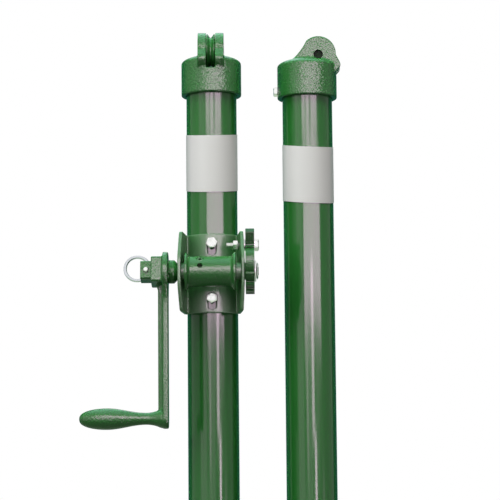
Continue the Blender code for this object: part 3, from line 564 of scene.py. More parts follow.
def finished(tree, geometry, material):
    """Ends a geometry tree in plain faces with a material."""
    real = add(tree, "GeometryNodeRealizeInstances", {"Geometry": geometry})
    return give(tree, Geometry=add(tree, "GeometryNodeSetMaterial", {"Geometry": real, "Material": material}))


def grown(name, tree, values, base=None):
    """Mesh that a geometry tree makes from named values."""
    solid = base or bpy.data.objects.new(name, bpy.data.meshes.new(name))
    if base is None:
        bpy.context.scene.collection.objects.link(solid)
    modifier = solid.modifiers.new("tree", "NODES")
    modifier.node_group = tree
    for item in tree.interface.items_tree:
        if item.item_type == "SOCKET" and item.in_out == "INPUT" and item.name in values:
            modifier[item.identifier] = values[item.name]
    return settled(solid)


def boolean(tree, operation, first, others):
    inputs = {"Mesh 2": others} if first is None else {"Mesh 1": first, "Mesh 2": others}
    return add(tree, "GeometryNodeMeshBoolean", inputs, operation=operation, solver="EXACT")


def rod(tree, sides, radius, length, rise, segments=1):
    """Cylinder along Z with its middle at a height."""
    bar = add(tree, "GeometryNodeMeshCylinder", {"Vertices": sides, "Side Segments": segments,
                                                 "Radius": radius, "Depth": length})
    raised = add(tree, "ShaderNodeCombineXYZ", {"Z": rise})
    return add(tree, "GeometryNodeTransform", {"Geometry": bar, "Translation": raised})


def hexagon_blank(tree, flats, height, cones):
    """Hexagon from z = 0 up. One cone turns its corners off at the top, and a second one below."""
    tools = [rod(tree, 6, flats / math.sqrt(3), height, height * 0.5)]
    crown = flats * HEX_CROWN
    foot = crown + height * HEX_SLOPE
    for top, bottom in [(crown, foot), (foot, crown)][:cones]:
        tools.append(add(tree, "GeometryNodeMeshCone", {"Vertices": SMALL_STEPS, "Radius Top": top,
                                                        "Radius Bottom": bottom, "Depth": height}))
    return boolean(tree, "INTERSECT", None, tools)


def threaded(tree, bar, pitch, depth, top, tip):
    """Cuts a helical thread into a bar along Z, below a height, and turns its tip down."""
    split = add(tree, "ShaderNodeSeparateXYZ", {0: add(tree, "GeometryNodeInputPosition")}).socket.node
    x, y, z = [Term(tree, socket) for socket in split.outputs]
    turn = y.math("ARCTAN2", x) / (2 * math.pi)
    wave = ((z / pitch - turn).math("FRACT") * 2.0 - 1.0).math("ABSOLUTE")
    groove = wave * depth * z.math("LESS_THAN", top)
    taper = (depth * TIP_TAPER - (z - tip)).math("MAXIMUM")
    inward = groove.math("MAXIMUM", taper) * -1.0
    flat = add(tree, "ShaderNodeCombineXYZ", {"X": x, "Y": y})
    out = add(tree, "ShaderNodeVectorMath", {0: flat}, operation="NORMALIZE")
    shift = add(tree, "ShaderNodeVectorMath", {0: out, "Scale": inward}, operation="SCALE")
    return add(tree, "GeometryNodeSetPosition", {"Geometry": bar, "Offset": shift})


def screw_tree(name):
    """Hex screw along +Z: chamfered head above z = 0, threaded shank below."""
    tree, given = geometry_group(name, Flats=BOLT_FLATS, Head_Height=BOLT_HEAD, Shank_Radius=BOLT_RADIUS,
                                 Shank_Length=0.02, Plain_Length=0.004, Pitch=0.0015, Thread_Depth=0.0007)
    head, shank, pitch = given["Head Height"], given["Shank Length"], given["Pitch"]
    length = shank + head * 0.5
    rings = (length / pitch * RINGS_PER_PITCH).math("CEIL")
    bar = rod(tree, FINE_STEPS, given["Shank Radius"], length, length * 0.5 - shank, rings)
    bar = threaded(tree, bar, pitch, given["Thread Depth"], given["Plain Length"] * -1.0, shank * -1.0)
    blank = hexagon_blank(tree, given["Flats"], head, 1)
    return finished(tree, boolean(tree, "UNION", None, [blank, bar]), given["Material"])


def nut_tree(name):
    """Hex nut from z = 0 up, chamfered on both faces, with a plain bore."""
    tree, given = geometry_group(name, Flats=BOLT_FLATS, Thickness=0.008, Bore_Radius=0.0053)
    blank = hexagon_blank(tree, given["Flats"], given["Thickness"], 2)
    hole = add(tree, "GeometryNodeMeshCylinder", {"Vertices": SMALL_STEPS, "Radius": given["Bore Radius"],
                                                  "Depth": given["Thickness"] * 4.0})
    return finished(tree, boolean(tree, "DIFFERENCE", blank, hole), given["Material"])


def stub_tree(name):
    """Threaded stub along Z, from its tip at z = 0 up."""
    tree, given = geometry_group(name, Radius=END_THREAD_RADIUS, Length=0.01, Pitch=0.0015,
                                 Thread_Depth=0.0007)
    length, pitch = given["Length"], given["Pitch"]
    rings = (length / pitch * RINGS_PER_PITCH).math("CEIL")
    bar = rod(tree, SMALL_STEPS, given["Radius"], length, length * 0.5, rings)
    return finished(tree, threaded(tree, bar, pitch, given["Thread Depth"], length, 0.0), given["Material"])


def tooth_ring_tree(name):
    """Repeats one tooth's slice about the X axis and welds the slices into a wheel."""
    tree, given = geometry_group(name, Geometry=None, Teeth=RATCHET_TEETH, Weld=TOOTH_WELD)
    points = add(tree, "GeometryNodeMeshLine", {"Count": given["Teeth"], "Offset": (0, 0, 0)})
    angle = add(tree, "GeometryNodeInputIndex") / given["Teeth"] * (2 * math.pi)
    turn = add(tree, "ShaderNodeCombineXYZ", {"X": angle})
    slices = add(tree, "GeometryNodeInstanceOnPoints", {"Points": points, "Instance": given["Geometry"],
                                                        "Rotation": turn})
    real = add(tree, "GeometryNodeRealizeInstances", {"Geometry": slices})
    welded = add(tree, "GeometryNodeMergeByDistance", {"Geometry": real, "Distance": given["Weld"]})
    return finished(tree, welded, given["Material"])


def hex_screw(name, flats, head, radius, length, plain, pitch):
    """Plated screw along Z, the underside of its head at z = 0."""
    return grown(name, shared("hex_screw", screw_tree), {
        "Flats": flats, "Head Height": head, "Shank Radius": radius, "Shank Length": length,
        "Plain Length": plain, "Pitch": pitch, "Thread Depth": pitch * THREAD_SHARE,
        "Material": zinc_plate()})


def hex_nut(name, flats, bore, home, body, node):
    """Plated nut along X, between the ends of the model's node."""
    low, high = span(node)
    nut = grown(name, shared("hex_nut", nut_tree), {"Flats": flats, "Thickness": high - low,
                                                    "Bore Radius": bore, "Material": zinc_plate()})
    nut.data.transform(Matrix.Translation((low, 0, 0)) @ AXES["X"].to_4x4())
    put(shifted(nut, home), zinc_plate(), body, node)


# Finishes
def noise(tree, place, scale, detail, roughness=0.5):
    return add(tree, "ShaderNodeTexNoise", {"Vector": place, "Scale": scale, "Detail": detail,
                                            "Roughness": roughness})


def stretched(tree, value, low, high):
    """Part of a value between two levels, as a share from 0 to 1."""
    return add(tree, "ShaderNodeMapRange", {"Value": value, "From Min": low, "From Max": high})


def mixed(tree, share, first, second):
    return add(tree, "ShaderNodeMix", {"Factor": share, 6: first, 7: second}, output=2, data_type="RGBA")


def bump(tree, height, distance, **under):
    return add(tree, "ShaderNodeBump", {"Height": height, "Distance": distance, "Strength": 1.0, **under})


def grain_group(name):
    """Waves and grain of a paint film: a mottled colour, a roughness and a normal."""
    tree, given = new_group(name, "ShaderNodeTree", SKIN, {
        "Colour": (0.02, 0.12, 0.04, 1), "Thin Colour": (0.05, 0.13, 0.07, 1), "Thin": 0.2, "Roughness": 0.25,
        "Roughness Spread": 0.06, "Wave Scale": 260.0, "Wave Height": 0.00003, "Grain Scale": 700.0,
        "Grain Height": 0.0})
    place = add(tree, "ShaderNodeTexCoord", output="Object")
    wave = noise(tree, place, given["Wave Scale"], 1.0)
    grain = noise(tree, place, given["Grain Scale"], 3.0, 0.65)
    patches = noise(tree, place, PATCH_SCALE, 4.0)
    # The grain's tops take the thin colour in patches; on the green paints it is lighter, partly thinner
    # paint and partly a painted glint.
    thin = stretched(tree, grain, 0.52, 0.72) * given["Thin"] * (patches + 0.5)
    soft = bump(tree, wave, given["Wave Height"])
    return give(tree, Colour=mixed(tree, thin, given["Colour"], given["Thin Colour"]),
                Roughness=given["Roughness"] + (patches - 0.5) * given["Roughness Spread"],
                Normal=bump(tree, grain, given["Grain Height"], Normal=soft))


def plating_group(name):
    """Zinc plating: bright and dull patches, small crystals and a finely scratched normal."""
    tree, given = new_group(name, "ShaderNodeTree", SKIN, {
        "Colour": (0.6, 0.6, 0.6, 1), "Dull Colour": (0.4, 0.4, 0.4, 1), "Roughness": 0.25,
        "Scratch Height": 0.00001, "Patch Scale": 180.0})
    place = add(tree, "ShaderNodeTexCoord", output="Object")
    crystals = add(tree, "ShaderNodeTexVoronoi", {"Vector": place, "Scale": CRYSTAL_SCALE})
    share = stretched(tree, noise(tree, place, given["Patch Scale"], 5.0), 0.42, 0.68)
    return give(tree, Colour=mixed(tree, share, given["Colour"], given["Dull Colour"]),
                Roughness=given["Roughness"] + share * 0.12 + crystals * 0.05,
                Normal=bump(tree, noise(tree, place, SCRATCH_SCALE, 2.0), given["Scratch Height"]))


def skinned(name, group, build, values, surface):
    """Material whose colour, roughness and normal come from a shared group, its inputs given in order."""
    if name in bpy.data.materials:
        return bpy.data.materials[name]
    material = bpy.data.materials.new(name)
    material.use_nodes = True
    tree = material.node_tree
    shader = tree.nodes["Principled BSDF"].inputs
    skin = tree.nodes.new("ShaderNodeGroup")
    skin.node_tree = shared(group, build)
    for socket, value in zip(skin.inputs, values):
        socket.default_value = value
    for label, target in (("Colour", "Base Color"), ("Roughness", "Roughness"), ("Normal", "Normal")):
        tree.links.new(skin.outputs[label], shader[target])
    for label, value in {**PLAIN_SURFACE, **surface}.items():
        shader[label].default_value = value
    return material


def green(name, thin, roughness, spread, wave, grain, shade=1.0, **surface):
    """Green paint. Wave and grain are (scale, height), and a shade below 1 darkens both colours as painted
    shade.
    """
    look = bpy.context.scene.net_post_finish
    colours = [(*(part * shade for part in colour), 1) for colour in (look.paint, look.paint_thin_and_glint)]
    surface = {label.replace("_", " "): value for label, value in surface.items()}
    return skinned(name, "paint_film", grain_group, [*colours, thin, roughness, spread, *wave, *grain],
                   {"IOR": look.paint_ior, **surface})


def tube_paint():
    """Smooth glossy paint on steel tube, with a slight orange peel."""
    look = bpy.context.scene.net_post_finish
    return green("tube_paint", 0.05, look.tube_roughness, 0.05, (190.0, look.peel_height), (1500.0, 0.000004))


def plate_paint():
    """The same paint on bent plate, a little rougher."""
    look = bpy.context.scene.net_post_finish
    return green("plate_paint", 0.15, look.plate_roughness, 0.08, (230.0, look.peel_height * 1.6),
                 (600.0, 0.00018), Specular_IOR_Level=0.85, Coat_Weight=0.32, Coat_Roughness=0.2)


def cast_paint(name="cast_paint", shade=1.0, specular=0.55, grain=1.0):
    """Paint over a sand casting, whose grain shows through. A shade below 1 darkens it as painted shade."""
    look = bpy.context.scene.net_post_finish
    return green(name, 0.35, look.cast_roughness, 0.1, (330.0, look.grain_height * grain),
                 (420.0, look.grain_height * 0.6), shade, Specular_IOR_Level=specular)


def plated(name, bright, dull, roughness, scratch):
    return skinned(name, "zinc_skin", plating_group, [(*bright, 1), (*dull, 1), roughness, scratch, 160.0],
                   {"Metallic": 1.0})


def zinc_plate():
    look = bpy.context.scene.net_post_finish
    return plated("zinc_plate_skin", look.zinc, look.zinc_dull, look.zinc_roughness, 0.000006)


def steel_wire():
    look = bpy.context.scene.net_post_finish
    return plated("steel_wire_skin", look.wire, look.wire, 0.2, 0.000004)


def band_vinyl():
    look = bpy.context.scene.net_post_finish
    return skinned("band_vinyl", "paint_film", grain_group,
                   [(*look.band, 1), (*look.band_shade, 1), 0.25, 0.32, 0.06, 60.0, 0.00006, 900.0, 0.000003],
                   {"IOR": 1.45})


# Posts and bands
def make_tube(name, post, screw_side, bolt_heights, node):
    """Open tube with lightly broken ends and drilled holes."""
    tube = sleeve(name, 0, TUBE_LENGTH, TUBE_RADIUS - TUBE_WALL, TUBE_RADIUS, TUBE_EASE, ROUND_STEPS, "Z",
                  TUBE_EASE)
    holes = [(CAP_SCREW_RADIUS, RIM_HEIGHT + CAP_SCREW_HEIGHT, screw_side)]
    for radius, height, side in holes + [(BOLT_RADIUS, height, 0) for height in bolt_heights]:
        bored(tube, radius + FIT_GAP, -CAP_RADIUS, -TUBE_RADIUS / 2, "Y", (0, 0, height), side, "Z")
    put(at_post(tube, post), tube_paint(), "root", node)


def make_band(name, post, node, tilt):
    """Thin plain band round the tube, with its seam at the back and its ends cut square."""
    inner = TUBE_RADIUS + FIT_GAP
    outer = inner + BAND_THICKNESS
    half_seam = math.degrees(BAND_SEAM / 2 / inner)
    slope, dip = math.tan(math.radians(tilt)), math.tan(math.radians(BAND_DIP))
    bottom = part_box(node)[0].z + outer * math.hypot(slope, dip)
    outline = arc((0, 0), inner, 90 + half_seam, 450 - half_seam, ROUND_STEPS)
    outline += reversed(arc((0, 0), outer, 90 + half_seam, 450 - half_seam, ROUND_STEPS))
    band = eased(prism(name, outline, bottom, bottom + BAND_HEIGHT), BAND_EASE, 2, 40)
    for vertex in band.data.vertices:
        vertex.co.z += vertex.co.y * dip - vertex.co.x * slope
    put(at_post(band, post), band_vinyl(), "root", node, sharp=20)


# Caps, sheaves and pins, drawn with the ears reaching towards +X and the pin along Y
def ear_outline():
    """Side view (x, z) of an ear: a lobe round the pin, a lip past the cap's side and a swept back."""
    lobe = (AXLE_REACH, AXLE_HEIGHT + EAR_RISE)
    lip = CAP_RADIUS + LIP_OVERHANG
    base = LIP_HEIGHT - 0.012
    front = [(CAP_RADIUS - 0.004, base), (CAP_RADIUS + 0.0012, LIP_HEIGHT - 0.0072)]
    front += curve_through([(lip - 0.0008, LIP_HEIGHT - 0.0028), (lip, LIP_HEIGHT + 0.001),
                            (lip - 0.0018, LIP_HEIGHT + 0.0064)], 4)
    crown = arc(lobe, EAR_RADIUS, -4, 132, 48)
    foot = Vector((-CAP_RADIUS * 0.68, CAP_SIDE_HEIGHT + 0.004))
    top = crown[-1]
    bend = Vector((top.x - 0.0115, foot.y + 0.011))
    sweep = [top * (1 - t) ** 2 + bend * 2 * t * (1 - t) + foot * t ** 2
             for t in [i / 16 for i in range(1, 17)]]
    return [Vector(point) for point in front] + crown + sweep + [Vector((foot.x, base))]


def sheave_pocket():
    """Side view (x, z) of the slot that the sheave turns in, open to the front and the top."""
    clear = SHEAVE_RADIUS + SLOT_CLEARANCE
    floor = AXLE_HEIGHT - clear
    far, top = CAP_RADIUS + 0.03, AXLE_HEIGHT + 2 * SHEAVE_RADIUS
    back = arc((AXLE_REACH, AXLE_HEIGHT), clear, 270, 180, 40)
    return [Vector((far, floor)), *back, Vector((AXLE_REACH - clear, top)), Vector((far, top))]


def make_cap(name, post, facing, node):
    """Cast cap: domed crown, two ears, a slot for the sheave and a bored socket for the tube."""
    sizes = bpy.context.scene.net_post_sizes
    dome = [circle_point(1, 90 * step / 24) for step in range(24)]
    profile = [(0, CAP_RADIUS - CAP_EASE), (CAP_EASE, CAP_RADIUS)]
    profile += [(CAP_SIDE_HEIGHT + CAP_CROWN_RISE * point.y, CAP_RADIUS * point.x) for point in dome]
    cap = turned(name, profile)
    join(cap, prism("ears", ear_outline(), -EAR_SPAN / 2, EAR_SPAN / 2, "Y"))
    cut(cap, prism("pocket", sheave_pocket(), -EAR_GAP / 2, EAR_GAP / 2, "Y"))
    cast(cap, sizes.casting_grain, sizes.casting_passes)
    socket, ease = TUBE_RADIUS + FIT_GAP, SOCKET_EASE
    well = [(-0.01, socket + ease), (0, socket + ease), (ease, socket), (SOCKET_DEPTH, socket)]
    cut(cap, turned("well", well))
    bored(cap, AXLE_RADIUS + FIT_GAP, -EAR_SPAN, EAR_SPAN, "Y", (AXLE_REACH, 0, AXLE_HEIGHT))
    bored(cap, CAP_SCREW_RADIUS + FIT_GAP, -2 * CAP_RADIUS, -CAP_RADIUS / 2, "X", (0, 0, CAP_SCREW_HEIGHT))
    put(at_post(cap, post, RIM_HEIGHT, facing), cast_paint("cap_paint", grain=2.1), "root", node, sharp=40)


def make_sheave(name, post, facing, body, node):
    """Sheave with a round groove, a hub and recessed sides."""
    half, mouth = SHEAVE_WIDTH / 2, SHEAVE_WIDTH / 2 - SHEAVE_RECESS
    floor = SHEAVE_RADIUS - GROOVE_DEPTH
    bore, hub = AXLE_RADIUS + FIT_GAP, SHEAVE_HUB_RADIUS
    right = []
    for t in [step / 12 for step in range(13)]:
        right.append((mouth * t, floor + GROOVE_DEPTH * (1 - math.cos(t * math.pi / 2)) ** 0.85))
    right += [(mouth + 0.0007, SHEAVE_RADIUS - 0.0001), (half, SHEAVE_RADIUS - 0.0009), (half, floor),
              (mouth, floor - 0.0016), (mouth, hub + 0.0016), (half - 0.0002, hub), (half, hub - 0.0003),
              (half, bore + 0.0004), (half - 0.0004, bore)]
    left = [(-along, radius) for along, radius in reversed(right[1:])]
    sheave = shifted(turned(name, right + left, 128, "Y", ring=True), (AXLE_REACH, 0, AXLE_HEIGHT))
    put(at_post(sheave, post, RIM_HEIGHT, facing), cast_paint(), body, node)


def make_pin(name, post, facing, node):
    """Plain pin, its ends sunk in the holes of the two ears."""
    end, ease = EAR_SPAN / 2 - AXLE_RECESS, AXLE_EASE
    profile = [(-end, AXLE_RADIUS - ease), (ease - end, AXLE_RADIUS), (end - ease, AXLE_RADIUS),
               (end, AXLE_RADIUS - ease)]
    pin = shifted(turned(name, profile, SMALL_STEPS, "Y"), (AXLE_REACH, 0, AXLE_HEIGHT))
    # The pin's paint is darkened to 0.15 of the green with almost no gloss, as painted shade deep in the
    # ears' holes.
    put(at_post(pin, post, RIM_HEIGHT, facing), cast_paint("shaded_paint", 0.15, 0.04), "root", node)


def make_cap_screw(name, post, facing, node):
    """Hex screw at the side away from the ears."""
    length = CAP_RADIUS + FIT_GAP - (TUBE_RADIUS - TUBE_WALL) + CAP_SCREW_TIP
    screw = hex_screw(name, CAP_SCREW_FLATS, CAP_SCREW_HEAD, CAP_SCREW_RADIUS, length, CAP_SCREW_PLAIN,
                      bpy.context.scene.net_post_sizes.small_pitch)
    shifted(screw, (-CAP_RADIUS - FIT_GAP, 0, CAP_SCREW_HEIGHT), -90, "Y")
    put(at_post(screw, post, RIM_HEIGHT, facing), zinc_plate(), "root", node)


# Winch bracket
def flange_inner(depth):
    """Distance of a flange's inner face from the middle, at a depth in front of the post's axis."""
    return FLANGE_PLAY - DRUM_LEFT + FLARE_SLOPE * (depth - (AXIS_DEPTH - DRUM_FLANGE_RADIUS))


def flange_outer(depth):
    return flange_inner(depth) + PLATE / math.cos(math.radians(FLANGE_FLARE))


def bracket_section():
    """Plan view (x, y) of the saddle and its two flanges, as one bent plate with round bends."""
    base, slope, bend = flange_inner(0), FLARE_SLOPE, SADDLE_REAR_DEPTH
    root = base * base * slope * slope - (1 + slope * slope) * (base * base - SADDLE_OUTER ** 2)
    meet_depth = max((math.sqrt(max(root, 0)) - base * slope) / (1 + slope * slope), bend + PLATE)
    meet = math.degrees(math.acos(meet_depth / SADDLE_OUTER))
    wrap = math.degrees(math.acos(bend / SADDLE_INNER))
    front = AXIS_DEPTH + FLANGE_FRONT + PLATE
    right = rounded([(SADDLE_INNER * math.sin(math.radians(wrap)), -bend, 0),
                     (flange_inner(meet_depth), -meet_depth, 0), (flange_inner(front), -front, 0),
                     (flange_outer(front), -front, 0), (flange_outer(bend), -bend, 0.0042)])[1:]
    outline = arc((0, 0), SADDLE_INNER, -90 + wrap, -90 - wrap, 96)
    outline += [Vector((-point.x, point.y)) for point in reversed(right)]
    return outline + arc((0, 0), SADDLE_OUTER, -90 - meet, -90 + meet, 80) + right


def bracket_side():
    """Side view (y, z) that the plate is cut to: rounded corners and a front that swells at the shaft."""
    half, back, front = BRACKET_HEIGHT / 2, -SADDLE_REAR_DEPTH / 2, -(AXIS_DEPTH + FLANGE_FRONT)
    return rounded([(back, half, 0), (-(AXIS_DEPTH - 0.002), half, 0.009), (front, 0.018, 0.04),
                    (front, -0.022, 0.04), (-(AXIS_DEPTH - 0.005), -half, 0.009), (back, -half, 0)], 16)


def slot_outline(height):
    radius = SLOT_WIDTH / 2
    rise = SLOT_LENGTH / 2 - radius
    return arc((0, height + rise), radius, 0, 180, 24) + arc((0, height - rise), radius, 180, 360, 24)


def make_bracket():
    """Bent saddle plate with two slots, two bush holes and the pawl bolt's hole."""
    bracket = prism("bent_bracket", bracket_section(), -BRACKET_HEIGHT, BRACKET_HEIGHT)
    combined(bracket, prism("side", bracket_side(), -BEYOND, BEYOND, "X"), "INTERSECT")
    half = BRACKET_HEIGHT / 2
    for height in (half - UPPER_SLOT_MARGIN, LOWER_SLOT_MARGIN - half):
        cut(bracket, prism("slot", slot_outline(height), -AXIS_DEPTH, -SADDLE_INNER / 2, "Y"))
    cast(bracket, bpy.context.scene.net_post_sizes.plate_grain, PLATE_PASSES)
    pivot = PAWL_PIVOT - BRACKET_MIDDLE
    bored(bracket, SHAFT_RADIUS + 2 * FIT_GAP + BUSH_WALL, -BEYOND, BEYOND, "X", (0, -AXIS_DEPTH, -AXIS_DROP),
          sides=MID_STEPS)
    bored(bracket, PAWL_BOLT_RADIUS + FIT_GAP, DRUM_RIGHT * 0.8, BEYOND, "X", (0, pivot.y, pivot.z))
    put(shifted(bracket, BRACKET_MIDDLE), plate_paint(), "root", "winch_bracket", sharp=40)


def make_bracket_bolts():
    """Two hex bolts through the slots, and the round nuts behind the tube's wall."""
    pitch = bpy.context.scene.net_post_sizes.bolt_pitch
    nut_front = math.sqrt((TUBE_RADIUS - TUBE_WALL) ** 2 - BRACKET_NUT_RADIUS ** 2) - FIT_GAP
    length = SADDLE_OUTER + FIT_GAP - nut_front + BRACKET_NUT_LENGTH + BOLT_TIP
    for side, head_turn in (("upper", 8), ("lower", 23)):
        height = middle(side + "_bracket_nut").z
        bolt = hex_screw(side + "_saddle_bolt", BOLT_FLATS, BOLT_HEAD, BOLT_RADIUS, length, BOLT_PLAIN,
                         pitch)
        shifted(shifted(bolt, turn=head_turn, axis="Z"), (0, -SADDLE_OUTER - FIT_GAP, 0), 90)
        put(at_post(bolt, WINCH_POST, height), zinc_plate(), "root", side + "_bracket_bolt")
        nut = sleeve(side + "_round_nut", -nut_front, -nut_front + BRACKET_NUT_LENGTH, BOLT_RADIUS + FIT_GAP,
                     BRACKET_NUT_RADIUS, BRACKET_NUT_EASE, along="Y")
        put(at_post(nut, WINCH_POST, height), zinc_plate(), "root", side + "_bracket_nut")


# Drum, shaft, bushes and wheel, drawn about the drum axis
def radial(tool, angle):
    """Turns a tool drawn along +Z so that it points out of the barrel, at an angle above straight forward."""
    return shifted(tool, (CLAMP_X, 0, 0), 90 - angle)


def barrel_hole(radius, below, above, flare, angle):
    """Tool for a hole in the barrel that opens out by a flare round the barrel's surface."""
    return radial(turned("hole", [
        (CLAMP_FLOOR_RADIUS, radius), (BARREL_RADIUS - below, radius),
        (BARREL_RADIUS + above, radius + flare), (DRUM_FLANGE_RADIUS, radius + flare)], FINE_STEPS), angle)


def make_drum():
    """Turned barrel between two tapered flanges, drilled for the cable and its clamp screw."""
    flange, ease = DRUM_FLANGE_RADIUS, 0.0008
    left = [(DRUM_LEFT, SHAFT_RADIUS + FIT_GAP + 0.0004), (DRUM_LEFT, flange - ease)]
    for point in [circle_point(ease, 180 - angle) for angle in (30, 60, 90)]:
        left.append((DRUM_LEFT + ease + point.x, flange - ease + point.y))
    rim, foot = DRUM_LEFT + DRUM_RIM, DRUM_LEFT + DRUM_FOOT
    left += curve_through([(rim - 0.0005, flange), (rim + 0.0002, flange - 0.0007),
                           (rim + 0.0014, flange - 0.003), (foot + 0.0001, BARREL_RADIUS + 0.0009),
                           (foot + 0.0014, BARREL_RADIUS)], 4)
    left.append((foot + 0.006, BARREL_RADIUS))
    right = [(DRUM_LEFT + DRUM_RIGHT - along, radius) for along, radius in reversed(left)]
    drum = turned("cable_drum", [tuple(point) for point in left] + right, 144, "X", ring=True)
    cut(drum, barrel_hole(CABLE_HOLE_RADIUS, 0.0012, 0.0008, 0.0014, CABLE_HOLE_ANGLE),
        barrel_hole(SET_SCREW_RADIUS + FIT_GAP, 0.0007, 0.0003, 0.0009, SET_SCREW_ANGLE))
    put(shifted(drum, DRUM_AXIS), cast_paint(), "winch_drum", "drum")


def make_clamp_screw():
    """Socket screw that clamps the cable, just under the barrel's surface."""
    top, ease = BARREL_RADIUS - 0.0008, 0.0006
    profile = [(CLAMP_FLOOR_RADIUS + FIT_GAP, SET_SCREW_RADIUS - ease),
               (CLAMP_FLOOR_RADIUS + 0.001, SET_SCREW_RADIUS), (top - ease, SET_SCREW_RADIUS),
               (top, SET_SCREW_RADIUS - ease)]
    screw = turned("clamp_screw", profile, FINE_STEPS)
    key = [circle_point(SET_SCREW_SOCKET / math.sqrt(3), 60 * i) for i in range(6)]
    cut(screw, prism("key", key, top - 0.004, top + 0.01))
    put(shifted(radial(screw, SET_SCREW_ANGLE), DRUM_AXIS), plate_paint(), "winch_drum", "drum_set_screw")


def make_shaft():
    """Shaft with a square end for the crank, a collar, two flats for the wheel and a threaded end."""
    pitch = bpy.context.scene.net_post_sizes.bolt_pitch
    collar, bevel = COLLAR_RADIUS, COLLAR_RADIUS - COLLAR_BEVEL
    left, core = -WHEEL_LEFT, END_THREAD_RADIUS - STUB_OVERLAP
    profile = [(COLLAR_LEFT, collar - 0.0012), (COLLAR_LEFT + 0.0004, collar - 0.0004),
               (COLLAR_LEFT + 0.0012, collar), (left - COLLAR_BEVEL - 0.0006, collar),
               (left - COLLAR_BEVEL + 0.0005, collar - 0.0006), (left - 0.0004, bevel + 0.0003),
               (left, bevel), (left, SHAFT_RADIUS), (WHEEL_RIGHT - 0.0004, SHAFT_RADIUS),
               (WHEEL_RIGHT, SHAFT_RADIUS - 0.0004), (WHEEL_RIGHT, core), (WHEEL_RIGHT + 0.001, core)]
    shaft = turned("squared_shaft", profile, MID_STEPS, "X")
    end = prism("end", square(SHAFT_SQUARE, SHAFT_CORNER), SHAFT_LEFT, COLLAR_LEFT + 0.0012, "X")
    join(shaft, shifted(eased(end, SHAFT_EASE, 4, 50), turn=-SQUARE_TURN))
    for side in (-1, 1):
        near, far = side * SEAT_HALF_WIDTH, side * SHAFT_RADIUS * 2
        flat = [Vector((near, -far)), Vector((far, -far)), Vector((far, far)), Vector((near, far))]
        cut(shaft, prism("flat", flat, WHEEL_LEFT, SHAFT_RIGHT + BEYOND, "X"))
    bored(shaft, LINCHPIN_RADIUS + FIT_GAP, -SHAFT_SQUARE, SHAFT_SQUARE, "Y",
          (LINCHPIN_X - DRUM_AXIS.x, 0, 0), -SQUARE_TURN, sides=FINE_STEPS)
    stub = grown("stub", shared("threaded_stub", stub_tree), {
        "Radius": END_THREAD_RADIUS, "Length": SHAFT_RIGHT - WHEEL_RIGHT + STUB_OVERLAP,
        "Pitch": pitch,
        "Thread Depth": pitch * THREAD_SHARE, "Material": tube_paint()})
    join(shaft, shifted(stub, (SHAFT_RIGHT, 0, 0), -90, "Y"))
    paint = cast_paint("shaft_paint", specular=0.3)
    put(shifted(shaft, DRUM_AXIS), paint, "winch_drum", "drum_shaft", sharp=35)


def make_bushes():
    bore = SHAFT_RADIUS + FIT_GAP
    for side in ("left", "right"):
        bush = sleeve(side + "_flange_bush", *span(side + "_bush"), bore, bore + BUSH_WALL, BUSH_EASE,
                      MID_STEPS, inside=BUSH_EASE)
        put(shifted(bush, DRUM_AXIS), plate_paint(), "root", side + "_bush")


def make_toothed_wheel():
    """Saw-toothed wheel: one tooth's slice repeated twelve times, then bored for the shaft's flats."""
    hub, start = SHAFT_RADIUS * 0.5, TOOTH_ANGLE
    land = start + TOOTH_LAND
    flank = [wheel_point(RATCHET_RADIUS - TOOTH_DEPTH * t, land + (TOOTH_PITCH - TOOTH_LAND) * t)
             for t in [i / 6 for i in range(7)]]
    outline = [wheel_point(hub, start), wheel_point(RATCHET_ROOT, start), wheel_point(RATCHET_RADIUS, start),
               *flank, wheel_point(hub, start + TOOTH_PITCH)]
    shape = bmesh.new()
    low, high = [[shape.verts.new((x, y, z)) for y, z in outline] for x in (WHEEL_LEFT, WHEEL_RIGHT)]
    shape.faces.new(low)
    shape.faces.new(list(reversed(high)))
    for i in range(1, len(outline) - 2):
        shape.faces.new([low[i + 1], low[i], high[i], high[i + 1]])
    shape.faces.new([low[0], low[-1], high[-1], high[0]])
    wheel = solid_from("toothed_wheel", shape, "Z")
    # The wheel's paint is darkened to 0.8 of the green as painted shade.
    paint = cast_paint("wheel_shaded_paint", 0.8, 0.5)
    grown("toothed_wheel", shared("tooth_ring", tooth_ring_tree), {
        "Teeth": RATCHET_TEETH, "Weld": TOOTH_WELD, "Material": paint}, wheel)
    outward = bmesh.new()
    outward.from_mesh(wheel.data)
    bmesh.ops.recalc_face_normals(outward, faces=outward.faces)
    outward.to_mesh(wheel.data)
    outward.free()
    cast(wheel, *WHEEL_CASTING)
    radius = SHAFT_RADIUS + FIT_GAP
    flat = math.degrees(math.acos((SEAT_HALF_WIDTH + FIT_GAP) / radius))
    seat = arc((0, 0), radius, flat, 180 - flat, 24) + arc((0, 0), radius, 180 + flat, 360 - flat, 24)
    cut(wheel, prism("seat", seat, 0, BEYOND, "X"))
    put(shifted(wheel, DRUM_AXIS), paint, "winch_drum", "ratchet_wheel", sharp=40)


def make_wheel_fixings():
    """Washer and thin nut that hold the wheel."""
    bore = END_THREAD_RADIUS + FIT_GAP
    washer = sleeve("wheel_washer", *span("end_washer"), bore, reach("end_washer").y / 2, WASHER_EASE,
                    MID_STEPS)
    put(shifted(washer, DRUM_AXIS), zinc_plate(), "winch_drum", "end_washer")
    hex_nut("wheel_nut", END_NUT_FLATS, bore, DRUM_AXIS, "winch_drum", "end_nut")


